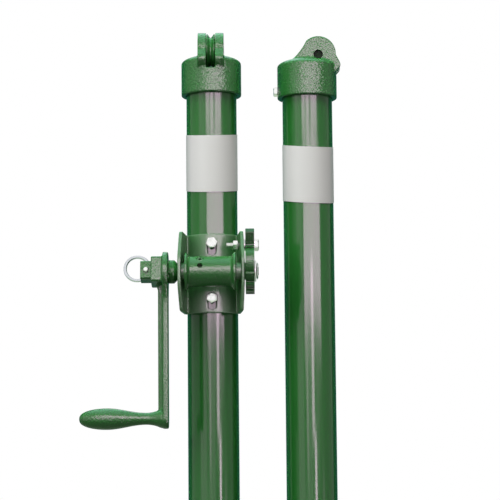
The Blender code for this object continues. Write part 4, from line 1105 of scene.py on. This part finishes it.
# Pawl, about its pivot
def pawl_outline():
    """Side view (y, z) of the pawl: round boss, raised top, and a nose against a tooth's steep face."""
    pivot = wheel_point(PIVOT_RADIUS, PIVOT_ANGLE)
    tip = RATCHET_RADIUS + NOSE_GAP
    nose = wheel_point(RATCHET_ROOT + NOSE_GAP, TOOTH_ANGLE - 1) - pivot
    face = wheel_point(tip, TOOTH_ANGLE - 1) - pivot
    heel = wheel_point(tip, TOOTH_ANGLE + 9) - pivot
    under = wheel_point(tip, TOOTH_ANGLE - TOOTH_PITCH + 6) - pivot
    front = [(*nose, 0.0006), (*face, 0), (*heel, 0.001), (-PAWL_FRONT + PAWL_LEAN, heel.y + 0.004, 0.003),
             (-PAWL_FRONT - 0.0006, PAWL_TOP - PAWL_CHAMFER, 0.0012), (-PAWL_FRONT + 0.0052, PAWL_TOP, 0.002),
             (-0.001, PAWL_TOP - 0.001, 0.008)]
    return rounded(front, 10) + arc((0, 0), PAWL_BOSS_RADIUS, 60, -100, 30) + [under]


def make_pawl():
    """Cast pawl, bored for its bolt."""
    pawl = cast(prism("cast_pawl", pawl_outline(), WHEEL_LEFT, WHEEL_RIGHT, "X"), *PAWL_CASTING)
    bored(pawl, PAWL_BOLT_RADIUS + FIT_GAP, 0, BEYOND, "X")
    # The pawl's paint is darkened to 0.48 of the green, with less gloss, as painted shade from the flange
    # beside it.
    put(shifted(pawl, PAWL_PIVOT), cast_paint("pawl_shaded_paint", 0.48, 0.42), "pawl", "pawl", sharp=40)


def make_pawl_fixings():
    """The pawl's bolt, its nut inside the flange, and the spacer between flange and pawl."""
    head, bore = WHEEL_RIGHT + FIT_GAP, PAWL_BOLT_RADIUS + FIT_GAP
    length, plain = head - span("pawl_bolt")[0], head - span("pawl_nut")[1] - PAWL_BOLT_PLAY
    bolt = hex_screw("pawl_hinge_bolt", PAWL_BOLT_FLATS, BOLT_HEAD, PAWL_BOLT_RADIUS, length, plain,
                     bpy.context.scene.net_post_sizes.small_pitch)
    put(shifted(shifted(bolt, (head, 0, 0), 90, "Y"), PAWL_PIVOT), zinc_plate(), "root", "pawl_bolt")
    hex_nut("pawl_hinge_nut", PAWL_NUT_FLATS, bore, PAWL_PIVOT, "root", "pawl_nut")
    spacer = sleeve("pawl_hinge_spacer", *span("pawl_spacer"), bore, PAWL_SPACER_RADIUS,
                    PAWL_SPACER_EASE)
    put(shifted(spacer, PAWL_PIVOT), zinc_plate(), "root", "pawl_spacer")


# Crank and linchpin, about the drum axis
def crank_plate_outline():
    """Side view (y, z) of the crank's flat: round head, slim arm and round end at the grip."""
    head = arc((0, 0), CRANK_HEAD_RADIUS, -42, 222, 96)
    end = arc((0, -CRANK_THROW), CRANK_END_RADIUS, 190, 350, 40)
    shoulder = -CRANK_HEAD_RADIUS - 0.012
    half = CRANK_ARM_HALF_WIDTH
    left = curve_through([head[-1], (-half - 0.0012, shoulder + 0.004), (-half, shoulder - 0.012)], 8)[1:]
    right = curve_through([(half, shoulder - 0.012), (half + 0.0012, shoulder + 0.004), head[0]], 8)[:-1]
    return head + left + end + right


def grip_profile():
    """Pear-shaped grip from the crank's flat outwards, as (x, radius)."""
    swell, root = GRIP_RADIUS - GRIP_NECK_RADIUS, CRANK_END_RADIUS - 0.0012
    foot = PLATE_LEFT - 0.003
    crest, tip = PLATE_LEFT - GRIP_CREST * GRIP_LENGTH, PLATE_LEFT - GRIP_LENGTH
    profile = [(PLATE_LEFT + 0.002, CRANK_END_RADIUS - 0.0008), (foot, root)]
    for t in [step / 12 for step in range(1, 13)]:
        profile.append((foot - GRIP_FLARE * t, GRIP_NECK_RADIUS + (root - GRIP_NECK_RADIUS) * (1 - t) ** 2.2))
    neck = profile[-1][0]
    for t in [step / 24 for step in range(1, 25)]:
        radius = GRIP_NECK_RADIUS + swell * (1 - math.cos(math.pi * t)) / 2
        profile.append((neck + (crest - neck) * t, radius))
    for angle in [math.pi / 2 * step / 24 for step in range(1, 24)]:
        profile.append((crest + (tip - crest) * math.sin(angle), GRIP_RADIUS * math.cos(angle) ** 0.8))
    return profile + [(tip, 0.0008)]


def make_crank():
    """Crank cast in one: square boss, flat with a rib along its arm, and grip."""
    sizes = bpy.context.scene.net_post_sizes
    crank = eased(prism("cast_crank", crank_plate_outline(), PLATE_LEFT, PLATE_RIGHT, "X"), CRANK_EASE)
    for vertex in crank.data.vertices:
        vertex.co.y *= CRANK_SPREAD - CRANK_DRAFT * (vertex.co.x - PLATE_LEFT) / (PLATE_RIGHT - PLATE_LEFT)
    boss = prism("boss", square(BOSS_SQUARE, BOSS_CORNER), BOSS_LEFT, PLATE_RIGHT - 0.002, "X")
    top, rib_left, rib_right = -BOSS_SQUARE / 2, PLATE_LEFT - RIB_HEIGHT, PLATE_RIGHT - 0.003
    corners = [(rib_right, top + 0.006, 0), (BOSS_LEFT + 0.005, top + 0.006, 0),
               (rib_left, top - 0.008, 0.006), (rib_left, -CRANK_THROW, 0), (rib_right, -CRANK_THROW, 0)]
    rib = prism("rib", rounded(corners), -RIB_WIDTH / 2, RIB_WIDTH / 2, "Y")
    for vertex in rib.data.vertices:
        if vertex.co.z < top - 0.004:
            vertex.co.y *= RIB_ROOT - RIB_TAPER * max(PLATE_LEFT - vertex.co.x, 0) / RIB_HEIGHT
    grip = shifted(turned("grip", grip_profile(), MID_STEPS, "X"), (0, 0, -CRANK_THROW))
    join(crank, shifted(boss, turn=-SQUARE_TURN), rib, grip)
    cast(crank, sizes.casting_grain, sizes.casting_passes)
    hole = prism("hole", square(SHAFT_SQUARE + 2 * FIT_GAP, SHAFT_CORNER), -BEYOND, 0, "X")
    cut(crank, shifted(eased(hole, 0.0001, 1, 60), turn=-SQUARE_TURN))
    put(shifted(crank, DRUM_AXIS), cast_paint(), "winch_drum", "crank", sharp=40)


def on_shaft(solid):
    """Turns a piece about the pin so that its ring points up and out, and puts it on the shaft."""
    shifted(solid, turn=RING_TURN, axis="Y")
    return shifted(solid, (LINCHPIN_X, DRUM_AXIS.y, DRUM_AXIS.z), -SQUARE_TURN)


def make_linchpin():
    """Pin through the square shaft, with a drilled head that holds the ring."""
    near, pin, head = -SHAFT_SQUARE / 2 - LINCHPIN_TIP, LINCHPIN_RADIUS, LINCHPIN_HEAD_RADIUS
    far = PIN_SHOULDER + LINCHPIN_HEAD_LENGTH
    profile = [(near, pin - 0.0014), (near + 0.0003, pin - 0.0008), (near + 0.0014, pin), (PIN_SHOULDER, pin),
               (PIN_SHOULDER, head - 0.0005), (PIN_SHOULDER + 0.0005, head), (far - 0.0018, head),
               (far - 0.0006, head - 0.0006), (far, head - 0.0018)]
    solid = turned("crank_pin", profile, SMALL_STEPS, "Y")
    bored(solid, RING_WIRE + RING_HOLE_GAP, -0.02, 0.02, "Z", (0, PIN_SHOULDER + LINCHPIN_HEAD_LENGTH / 2, 0),
          sides=32)
    put(on_shaft(solid), zinc_plate(), "linchpin", "linchpin")


def make_ring():
    """Round wire ring through the hole in the pin's head."""
    wire = [circle_point(RING_WIRE, 18 * i) + Vector((0, RING_RADIUS)) for i in range(20)]
    ring = turned("crank_pin_ring", wire, 128, "Y", ring=True)
    shifted(ring, (-RING_RADIUS, PIN_SHOULDER + LINCHPIN_HEAD_LENGTH / 2, 0))
    put(on_shaft(ring), steel_wire(), "linchpin_ring", "linchpin_ring")


# Stage
# Name, place, target, width, height, power and colour of each lamp
LAMPS = (
    ("key_light", (-2.1, -2.0, 2.75), (0, 0, 1.2), 1.8, 1.8, 60, (0.98, 1.0, 1.0)),
    ("top_light", (0.0, -0.98, 3.6), (0, 0, 1.2), 1.6, 1.6, 66, (1.0, 1.0, 1.0)),
    ("fill_light", (1.5, -2.5, 1.8), (0, 0, 1.2), 1.6, 1.6, 7, (1.0, 0.88, 0.72)),
    ("back_light", (1.2, 2.6, 2.6), (0, 0, 1.1), 1.8, 1.8, 46, (1.0, 1.0, 1.0)),
)
# Name, azimuth and width in degrees, lowest and highest point, and strength of each card. The last two stand
# near the post, at the distance given last.
CARDS = (
    ("broad_card", 14.5, 76.0, 1.38, 1.86, 1.0),
    ("side_card", -44.0, 30.0, 0.4, 2.6, 0.10),
    ("cap_card", -60.0, 30.0, 2.04, 2.6, 0.12),
    ("high_card_left", -17.5, 15.0, 1.88, 2.6, 0.9),
    ("high_card_gap_left", -7.0, 5.0, 1.88, 2.6, 0.5),
    ("high_card_middle", 2.5, 13.0, 1.88, 2.6, 1.05),
    ("high_card_gap_right", 13.5, 8.0, 1.88, 2.6, 0.25),
    ("high_card_right", 31.0, 27.0, 1.88, 2.6, 0.98),
    ("low_card_left", -13.0, 7.0, 0.98, 1.31, 0.42),
    ("low_card_middle", 0.0, 18.0, 0.4, 1.31, 0.09),
    ("low_card_fill", -19.0, 20.0, 0.4, 0.95, 0.07),
    ("low_card_right", 34.0, 12.0, 0.98, 1.31, 0.08),
    ("low_card_side", 56.0, 10.0, 0.4, 0.95, 0.16),
    ("near_card_upper", 22.5, 10.0, 1.0, 1.31, 1.0, 0.65),
    ("near_card_lower", 31.0, 7.5, 0.4, 1.0, 1.4, 0.65),
)
# Place and target, and width and depth of the card overhead
OVERHEAD_AIM = ((0.0, 0.5, 3.6), (0.0, 0.45, 1.2))
OVERHEAD_SIZE = (3.0, 4.2)
# Name, azimuth and width in degrees, and share of the flags' height of each sheet behind the posts
FLAGS = (("left_flag", -140.0, 54.0, 1), ("right_flag", 140.0, 54.0, 1), ("back_flag", 180.0, 26.0, 0.5))


def make_sheet(name, corners, surface, hidden_from):
    """Flat sheet of the stage that some rays don't see."""
    mesh = bpy.data.meshes.new(name)
    mesh.from_pydata(corners, [], [(0, 1, 2, 3)])
    material = bpy.data.materials.new(name)
    material.use_nodes = True
    for label, value in surface.items():
        material.node_tree.nodes["Principled BSDF"].inputs[label].default_value = value
    mesh.materials.append(material)
    sheet = bpy.data.objects.new(name, mesh)
    bpy.context.scene.collection.objects.link(sheet)
    for ray in hidden_from:
        setattr(sheet, "visible_" + ray, False)


def level_square(size, height):
    half = size / 2
    return [(-half, -half, height), (half, -half, height), (half, half, height), (-half, half, height)]


def make_dull_sheet(name, corners, colour):
    """Dull sheet off the picture that only reflections show."""
    make_sheet(name, corners, {
        "Base Color": (0, 0, 0, 1), "Specular IOR Level": 0.0, "Emission Color": (*colour, 1),
        "Emission Strength": 1.0}, ("camera", "diffuse", "transmission", "shadow"))


def make_world(stage):
    """Soft light all round, and plain white for the camera and for reflections."""
    world = bpy.data.worlds.new("studio")
    bpy.context.scene.world = world
    world.use_nodes = True
    tree = world.node_tree
    back = tree.nodes["Background"].inputs
    back["Color"].default_value = (1, 1, 1, 1)
    rays = tree.nodes.new("ShaderNodeLightPath").outputs
    camera, glossy, clear = [Term(tree, rays[f"Is {kind} Ray"])
                             for kind in ("Camera", "Glossy", "Transmission")]
    seen = add(tree, "ShaderNodeMath", {0: camera + glossy, 1: clear}, operation="ADD", use_clamp=True)
    level = add(tree, "ShaderNodeMix", {"Factor": seen, 2: stage.surround, 3: 1.0}, data_type="FLOAT")
    tree.links.new(level.socket, back["Strength"])


def make_lamp(name, place, target, width, height, power, colour, mirrored=False):
    """Area lamp. One that is only there to be mirrored lights no dull surface."""
    lamp = bpy.data.lights.new(name, "AREA")
    lamp.shape = "RECTANGLE"
    lamp.size, lamp.size_y = width, height
    lamp.energy = power
    lamp.color = colour
    holder = bpy.data.objects.new(name, lamp)
    holder.location = place
    holder.rotation_mode = "QUATERNION"
    holder.rotation_quaternion = (Vector(target) - Vector(place)).to_track_quat("-Z", "Y")
    holder.visible_camera = False
    if mirrored:
        holder.visible_diffuse = False
        holder.light_linking.receiver_collection = painted()
    else:
        holder.visible_glossy = False
    bpy.context.scene.collection.objects.link(holder)


def around_post(azimuth, distance, height):
    """Place at an angle from the camera's side of the winch post."""
    angle = math.radians(azimuth)
    return WINCH_POST.xy.to_3d() + Vector((distance * math.sin(angle), -distance * math.cos(angle), height))


def make_card(stage, name, azimuth, width, low, high, strength, distance=None):
    """Upright lamp that only the paint's gloss mirrors."""
    distance = distance or stage.card_distance
    height, tall = (low + high) / 2, high - low
    wide = 2 * distance * math.tan(math.radians(width / 2))
    make_lamp(name, around_post(azimuth, distance, height), (WINCH_POST.x, WINCH_POST.y, height), wide, tall,
              math.pi * wide * tall * strength * stage.card_strength, stage.card_colour, True)


def make_flag(stage, name, azimuth, width, share):
    """Upright sheet behind the posts, so that their round edges stay dark."""
    left, right = [around_post(azimuth + side * width / 2, stage.flag_distance, 0) for side in (-1, 1)]
    top = Vector((0, 0, stage.flag_height * share))
    make_dull_sheet(name, [left, right, right + top, left + top], stage.flag_colour)


def make_camera(stage):
    camera = bpy.data.objects.new("photo_camera", bpy.data.cameras.new("photo_camera"))
    turn = (Matrix.Rotation(stage.camera_yaw, 4, "Z")
            @ Matrix.Rotation(math.pi / 2 + stage.camera_pitch, 4, "X")
            @ Matrix.Rotation(-stage.camera_roll, 4, "Z"))
    camera.matrix_world = Matrix.Translation(stage.camera_place) @ turn
    camera.data.lens = stage.lens
    camera.data.sensor_width = 36
    camera.data.clip_end = 50
    bpy.context.scene.collection.objects.link(camera)
    bpy.context.scene.camera = camera


# What a user would change
def colour(label, about, default):
    return bpy.props.FloatVectorProperty(name=label, description=about, subtype="COLOR", size=3, min=0, max=1,
                                         default=default)


def number(label, about, default, least=0, most=1, **options):
    return bpy.props.FloatProperty(name=label, description=about, default=default, min=least, max=most,
                                   **options)


def detail(label, about, default, least=0.0005, most=0.003, digits=5):
    return number(label, about, default, least, most, subtype="DISTANCE", precision=digits)


def tilt(label, about, degrees):
    return bpy.props.FloatProperty(name=label, description=about, subtype="ANGLE",
                                   default=math.radians(degrees))


class NetPostFinish(bpy.types.PropertyGroup):
    """Colours and surfaces of the finishes."""

    paint: colour("Paint", "Green paint", (0.013, 0.102, 0.016))
    # Thin paint: lighter green on the grain's tops, partly thinner paint and partly a painted glint on the
    # grain.
    paint_thin_and_glint: colour("Thin paint", "Paint where the grain's tops show through", (0.060, 0.110, 0.060))
    paint_ior: number("Paint IOR", "Refraction index of the paint film", 1.34, 1, 2)
    tube_roughness: number("Tube roughness", "Gloss of the paint on the tubes", 0.14)
    plate_roughness: number("Plate roughness", "Gloss of the paint on bent plate", 0.62)
    cast_roughness: number("Casting roughness", "Gloss of the paint on castings", 0.22)
    peel_height: detail("Orange peel", "Height of the paint's waves on the tubes", 0.000025, 0, 0.001, 6)
    grain_height: detail("Casting grain", "Height of the sand grain", 0.00045, 0, 0.002, 6)
    zinc: colour("Zinc", "Bright zinc plating", (0.97, 0.97, 0.955))
    zinc_dull: colour("Dull zinc", "Clouded patches of the plating", (0.84, 0.84, 0.82))
    zinc_roughness: number("Zinc roughness", "Gloss of the plating", 0.24)
    wire: colour("Wire", "Steel of the linchpin's ring", (0.68, 0.70, 0.74))
    band: colour("Band", "White band", (0.60, 0.60, 0.585))
    band_shade: colour("Band shade", "Slightly darker parts of the band", (0.56, 0.56, 0.54))


class NetPostSizes(bpy.types.PropertyGroup):
    """Sizes of the fine detail."""

    casting_grain: detail("Casting mesh", "Mesh size of the castings", 0.001)
    casting_passes: bpy.props.IntProperty(
        name="Casting softness", description="Smoothing passes on the castings", min=1, max=40, default=6)
    plate_grain: detail("Plate mesh", "Mesh size of the bent plate", 0.001)
    bolt_pitch: detail("Bolt pitch", "Thread pitch of the bolts and the shaft's end", 0.0015)
    small_pitch: detail("Small pitch", "Thread pitch of the cap screws and the pawl's bolt", 0.00125)


class NetPostStage(bpy.types.PropertyGroup):
    """Camera, floor and light."""

    camera_place: bpy.props.FloatVectorProperty(
        name="Camera", description="Place of the camera", subtype="XYZ", size=3, unit="LENGTH",
        default=(0.0772, -3.1, 0.848))
    camera_pitch: tilt("Pitch", "Camera's tilt above level", 7.45)
    camera_yaw: tilt("Yaw", "Camera's turn to the left", 0.41)
    camera_roll: tilt("Roll", "Turn of the picture against the clock", 0.522)
    lens: number("Lens", "Focal length in millimetres", 150.3, 20, 400)
    surround: number("Surround", "Light from all round", 0.25, 0, 2)
    floor_size: number("Floor", "Width of the floor", 24.0, 1, 100, unit="LENGTH")
    card_distance: number("Card distance", "Distance of the mirrored lamps", 2.4, 0.5, 10, unit="LENGTH")
    card_strength: number("Card strength", "Brightness of the mirrored lamps", 17.0, 0, 100)
    card_colour: colour("Card colour", "Tint of the mirrored lamps", (1.0, 0.67, 0.92))
    overhead_strength: number("Overhead strength", "Level of the card overhead", 2.0, 0, 40)
    overhead_colour: colour("Overhead colour", "Colour of the card overhead", (0.5, 0.9, 1.0))
    flag_distance: number("Flag distance", "Distance of the dull sheets behind", 2.2, 0.5, 10, unit="LENGTH")
    flag_height: number("Flag height", "Height of the dull sheets behind", 3.4, 0.5, 10, unit="LENGTH")
    flag_colour: colour("Flag colour", "Colour of the dull sheets behind", (0.03, 0.19, 0.15))
    dark_floor: number("Dark floor", "Size of the dark sheet under the posts", 7.0, 0.5, 20, unit="LENGTH")
    dark_colour: colour("Dark colour", "Colour of the sheet under the posts", (0.55, 0.68, 0.52))


class NETPOST_OT_tubes(bpy.types.Operator):
    """Makes the two painted tubes"""

    bl_idname = "netpost.tubes"
    bl_label = "Tubes"

    def execute(self, context):
        heights = [middle(side + "_bracket_nut").z for side in ("upper", "lower")]
        make_tube("painted_winch_tube", WINCH_POST, 180, heights, "winch_post_tube")
        make_tube("painted_plain_tube", PLAIN_POST, -90, [], "plain_post_tube")
        return {"FINISHED"}


class NETPOST_OT_bands(bpy.types.Operator):
    """Makes the two plain white bands"""

    bl_idname = "netpost.bands"
    bl_label = "Bands"

    def execute(self, context):
        make_band("winch_band", WINCH_POST, "winch_post_label_band", 0.0)
        make_band("plain_band", PLAIN_POST, "plain_post_label_band", PLAIN_BAND_TILT)
        return {"FINISHED"}


class NETPOST_OT_tops(bpy.types.Operator):
    """Makes the cast caps with their sheaves, pins and screws"""

    bl_idname = "netpost.tops"
    bl_label = "Caps and sheaves"

    def execute(self, context):
        for side, post, facing in (("winch", WINCH_POST, -90), ("plain", PLAIN_POST, 0)):
            make_cap("cast_" + side + "_cap", post, facing, side + "_post_cap")
            make_sheave("grooved_" + side + "_sheave", post, facing, side + "_sheave", side + "_post_sheave")
            make_pin("pressed_" + side + "_pin", post, facing, side + "_post_axle")
            make_cap_screw(side + "_cap_bolt", post, facing, side + "_post_cap_screw")
        return {"FINISHED"}


class NETPOST_OT_bracket(bpy.types.Operator):
    """Makes the bent bracket and its bolts"""

    bl_idname = "netpost.bracket"
    bl_label = "Bracket"

    def execute(self, context):
        make_bracket()
        make_bracket_bolts()
        return {"FINISHED"}


class NETPOST_OT_drum(bpy.types.Operator):
    """Makes the drum, its clamp screw, the shaft and the bushes"""

    bl_idname = "netpost.drum"
    bl_label = "Drum and shaft"

    def execute(self, context):
        make_drum()
        make_clamp_screw()
        make_shaft()
        make_bushes()
        return {"FINISHED"}


class NETPOST_OT_ratchet(bpy.types.Operator):
    """Makes the ratchet wheel, the pawl and what holds them"""

    bl_idname = "netpost.ratchet"
    bl_label = "Ratchet and pawl"

    def execute(self, context):
        make_toothed_wheel()
        make_wheel_fixings()
        make_pawl()
        make_pawl_fixings()
        return {"FINISHED"}


class NETPOST_OT_crank(bpy.types.Operator):
    """Makes the crank, its linchpin and the ring"""

    bl_idname = "netpost.crank"
    bl_label = "Crank"

    def execute(self, context):
        make_crank()
        make_linchpin()
        make_ring()
        return {"FINISHED"}


class NETPOST_OT_stage(bpy.types.Operator):
    """Makes the floor, the light and the camera"""

    bl_idname = "netpost.stage"
    bl_label = "Stage"

    def execute(self, context):
        stage = context.scene.net_post_stage
        context.scene.view_settings.view_transform = "Standard"
        make_sheet("studio_floor", level_square(stage.floor_size, -0.0004), {
            "Base Color": (0.86, 0.86, 0.86, 1), "Roughness": 0.7, "Emission Color": (1, 1, 1, 1),
            "Emission Strength": 0.6}, ("diffuse", "glossy"))
        make_world(stage)
        for lamp in LAMPS:
            make_lamp(*lamp)
        make_lamp("overhead_card", *OVERHEAD_AIM, *OVERHEAD_SIZE,
                  math.pi * math.prod(OVERHEAD_SIZE) * stage.overhead_strength, stage.overhead_colour, True)
        for card in CARDS:
            make_card(stage, *card)
        for flag in FLAGS:
            make_flag(stage, *flag)
        make_dull_sheet("dark_floor", level_square(stage.dark_floor, -0.002), stage.dark_colour)
        make_camera(stage)
        return {"FINISHED"}


class NETPOST_PT_panel(bpy.types.Panel):
    """Lists the pieces and what can be changed"""

    bl_idname = "NETPOST_PT_panel"
    bl_label = "Net posts"
    bl_space_type = "VIEW_3D"
    bl_region_type = "UI"
    bl_category = "Net posts"

    def draw(self, context):
        scene = context.scene
        for group in (scene.net_post_finish, scene.net_post_sizes, scene.net_post_stage):
            box = self.layout.box()
            for name in group.__annotations__:
                box.prop(group, name)
        for operator in OPERATORS:
            self.layout.operator(operator.bl_idname)


OPERATORS = (NETPOST_OT_stage, NETPOST_OT_tubes, NETPOST_OT_bands, NETPOST_OT_tops, NETPOST_OT_bracket,
             NETPOST_OT_drum, NETPOST_OT_ratchet, NETPOST_OT_crank)
GROUPS = (NetPostFinish, NetPostSizes, NetPostStage)


def register():
    for item in (*GROUPS, *OPERATORS, NETPOST_PT_panel):
        bpy.utils.register_class(item)
    bpy.types.Scene.net_post_finish = bpy.props.PointerProperty(type=NetPostFinish)
    bpy.types.Scene.net_post_sizes = bpy.props.PointerProperty(type=NetPostSizes)
    bpy.types.Scene.net_post_stage = bpy.props.PointerProperty(type=NetPostStage)


def unregister():
    del bpy.types.Scene.net_post_stage
    del bpy.types.Scene.net_post_sizes
    del bpy.types.Scene.net_post_finish
    for item in (NETPOST_PT_panel, *reversed(OPERATORS), *reversed(GROUPS)):
        bpy.utils.unregister_class(item)


def main():
    register()
    bpy.ops.netpost.stage()
    bpy.ops.netpost.tubes()
    bpy.ops.netpost.bands()
    bpy.ops.netpost.tops()
    bpy.ops.netpost.bracket()
    bpy.ops.netpost.drum()
    bpy.ops.netpost.ratchet()
    bpy.ops.netpost.crank()


if __name__ == "__main__":
    main()
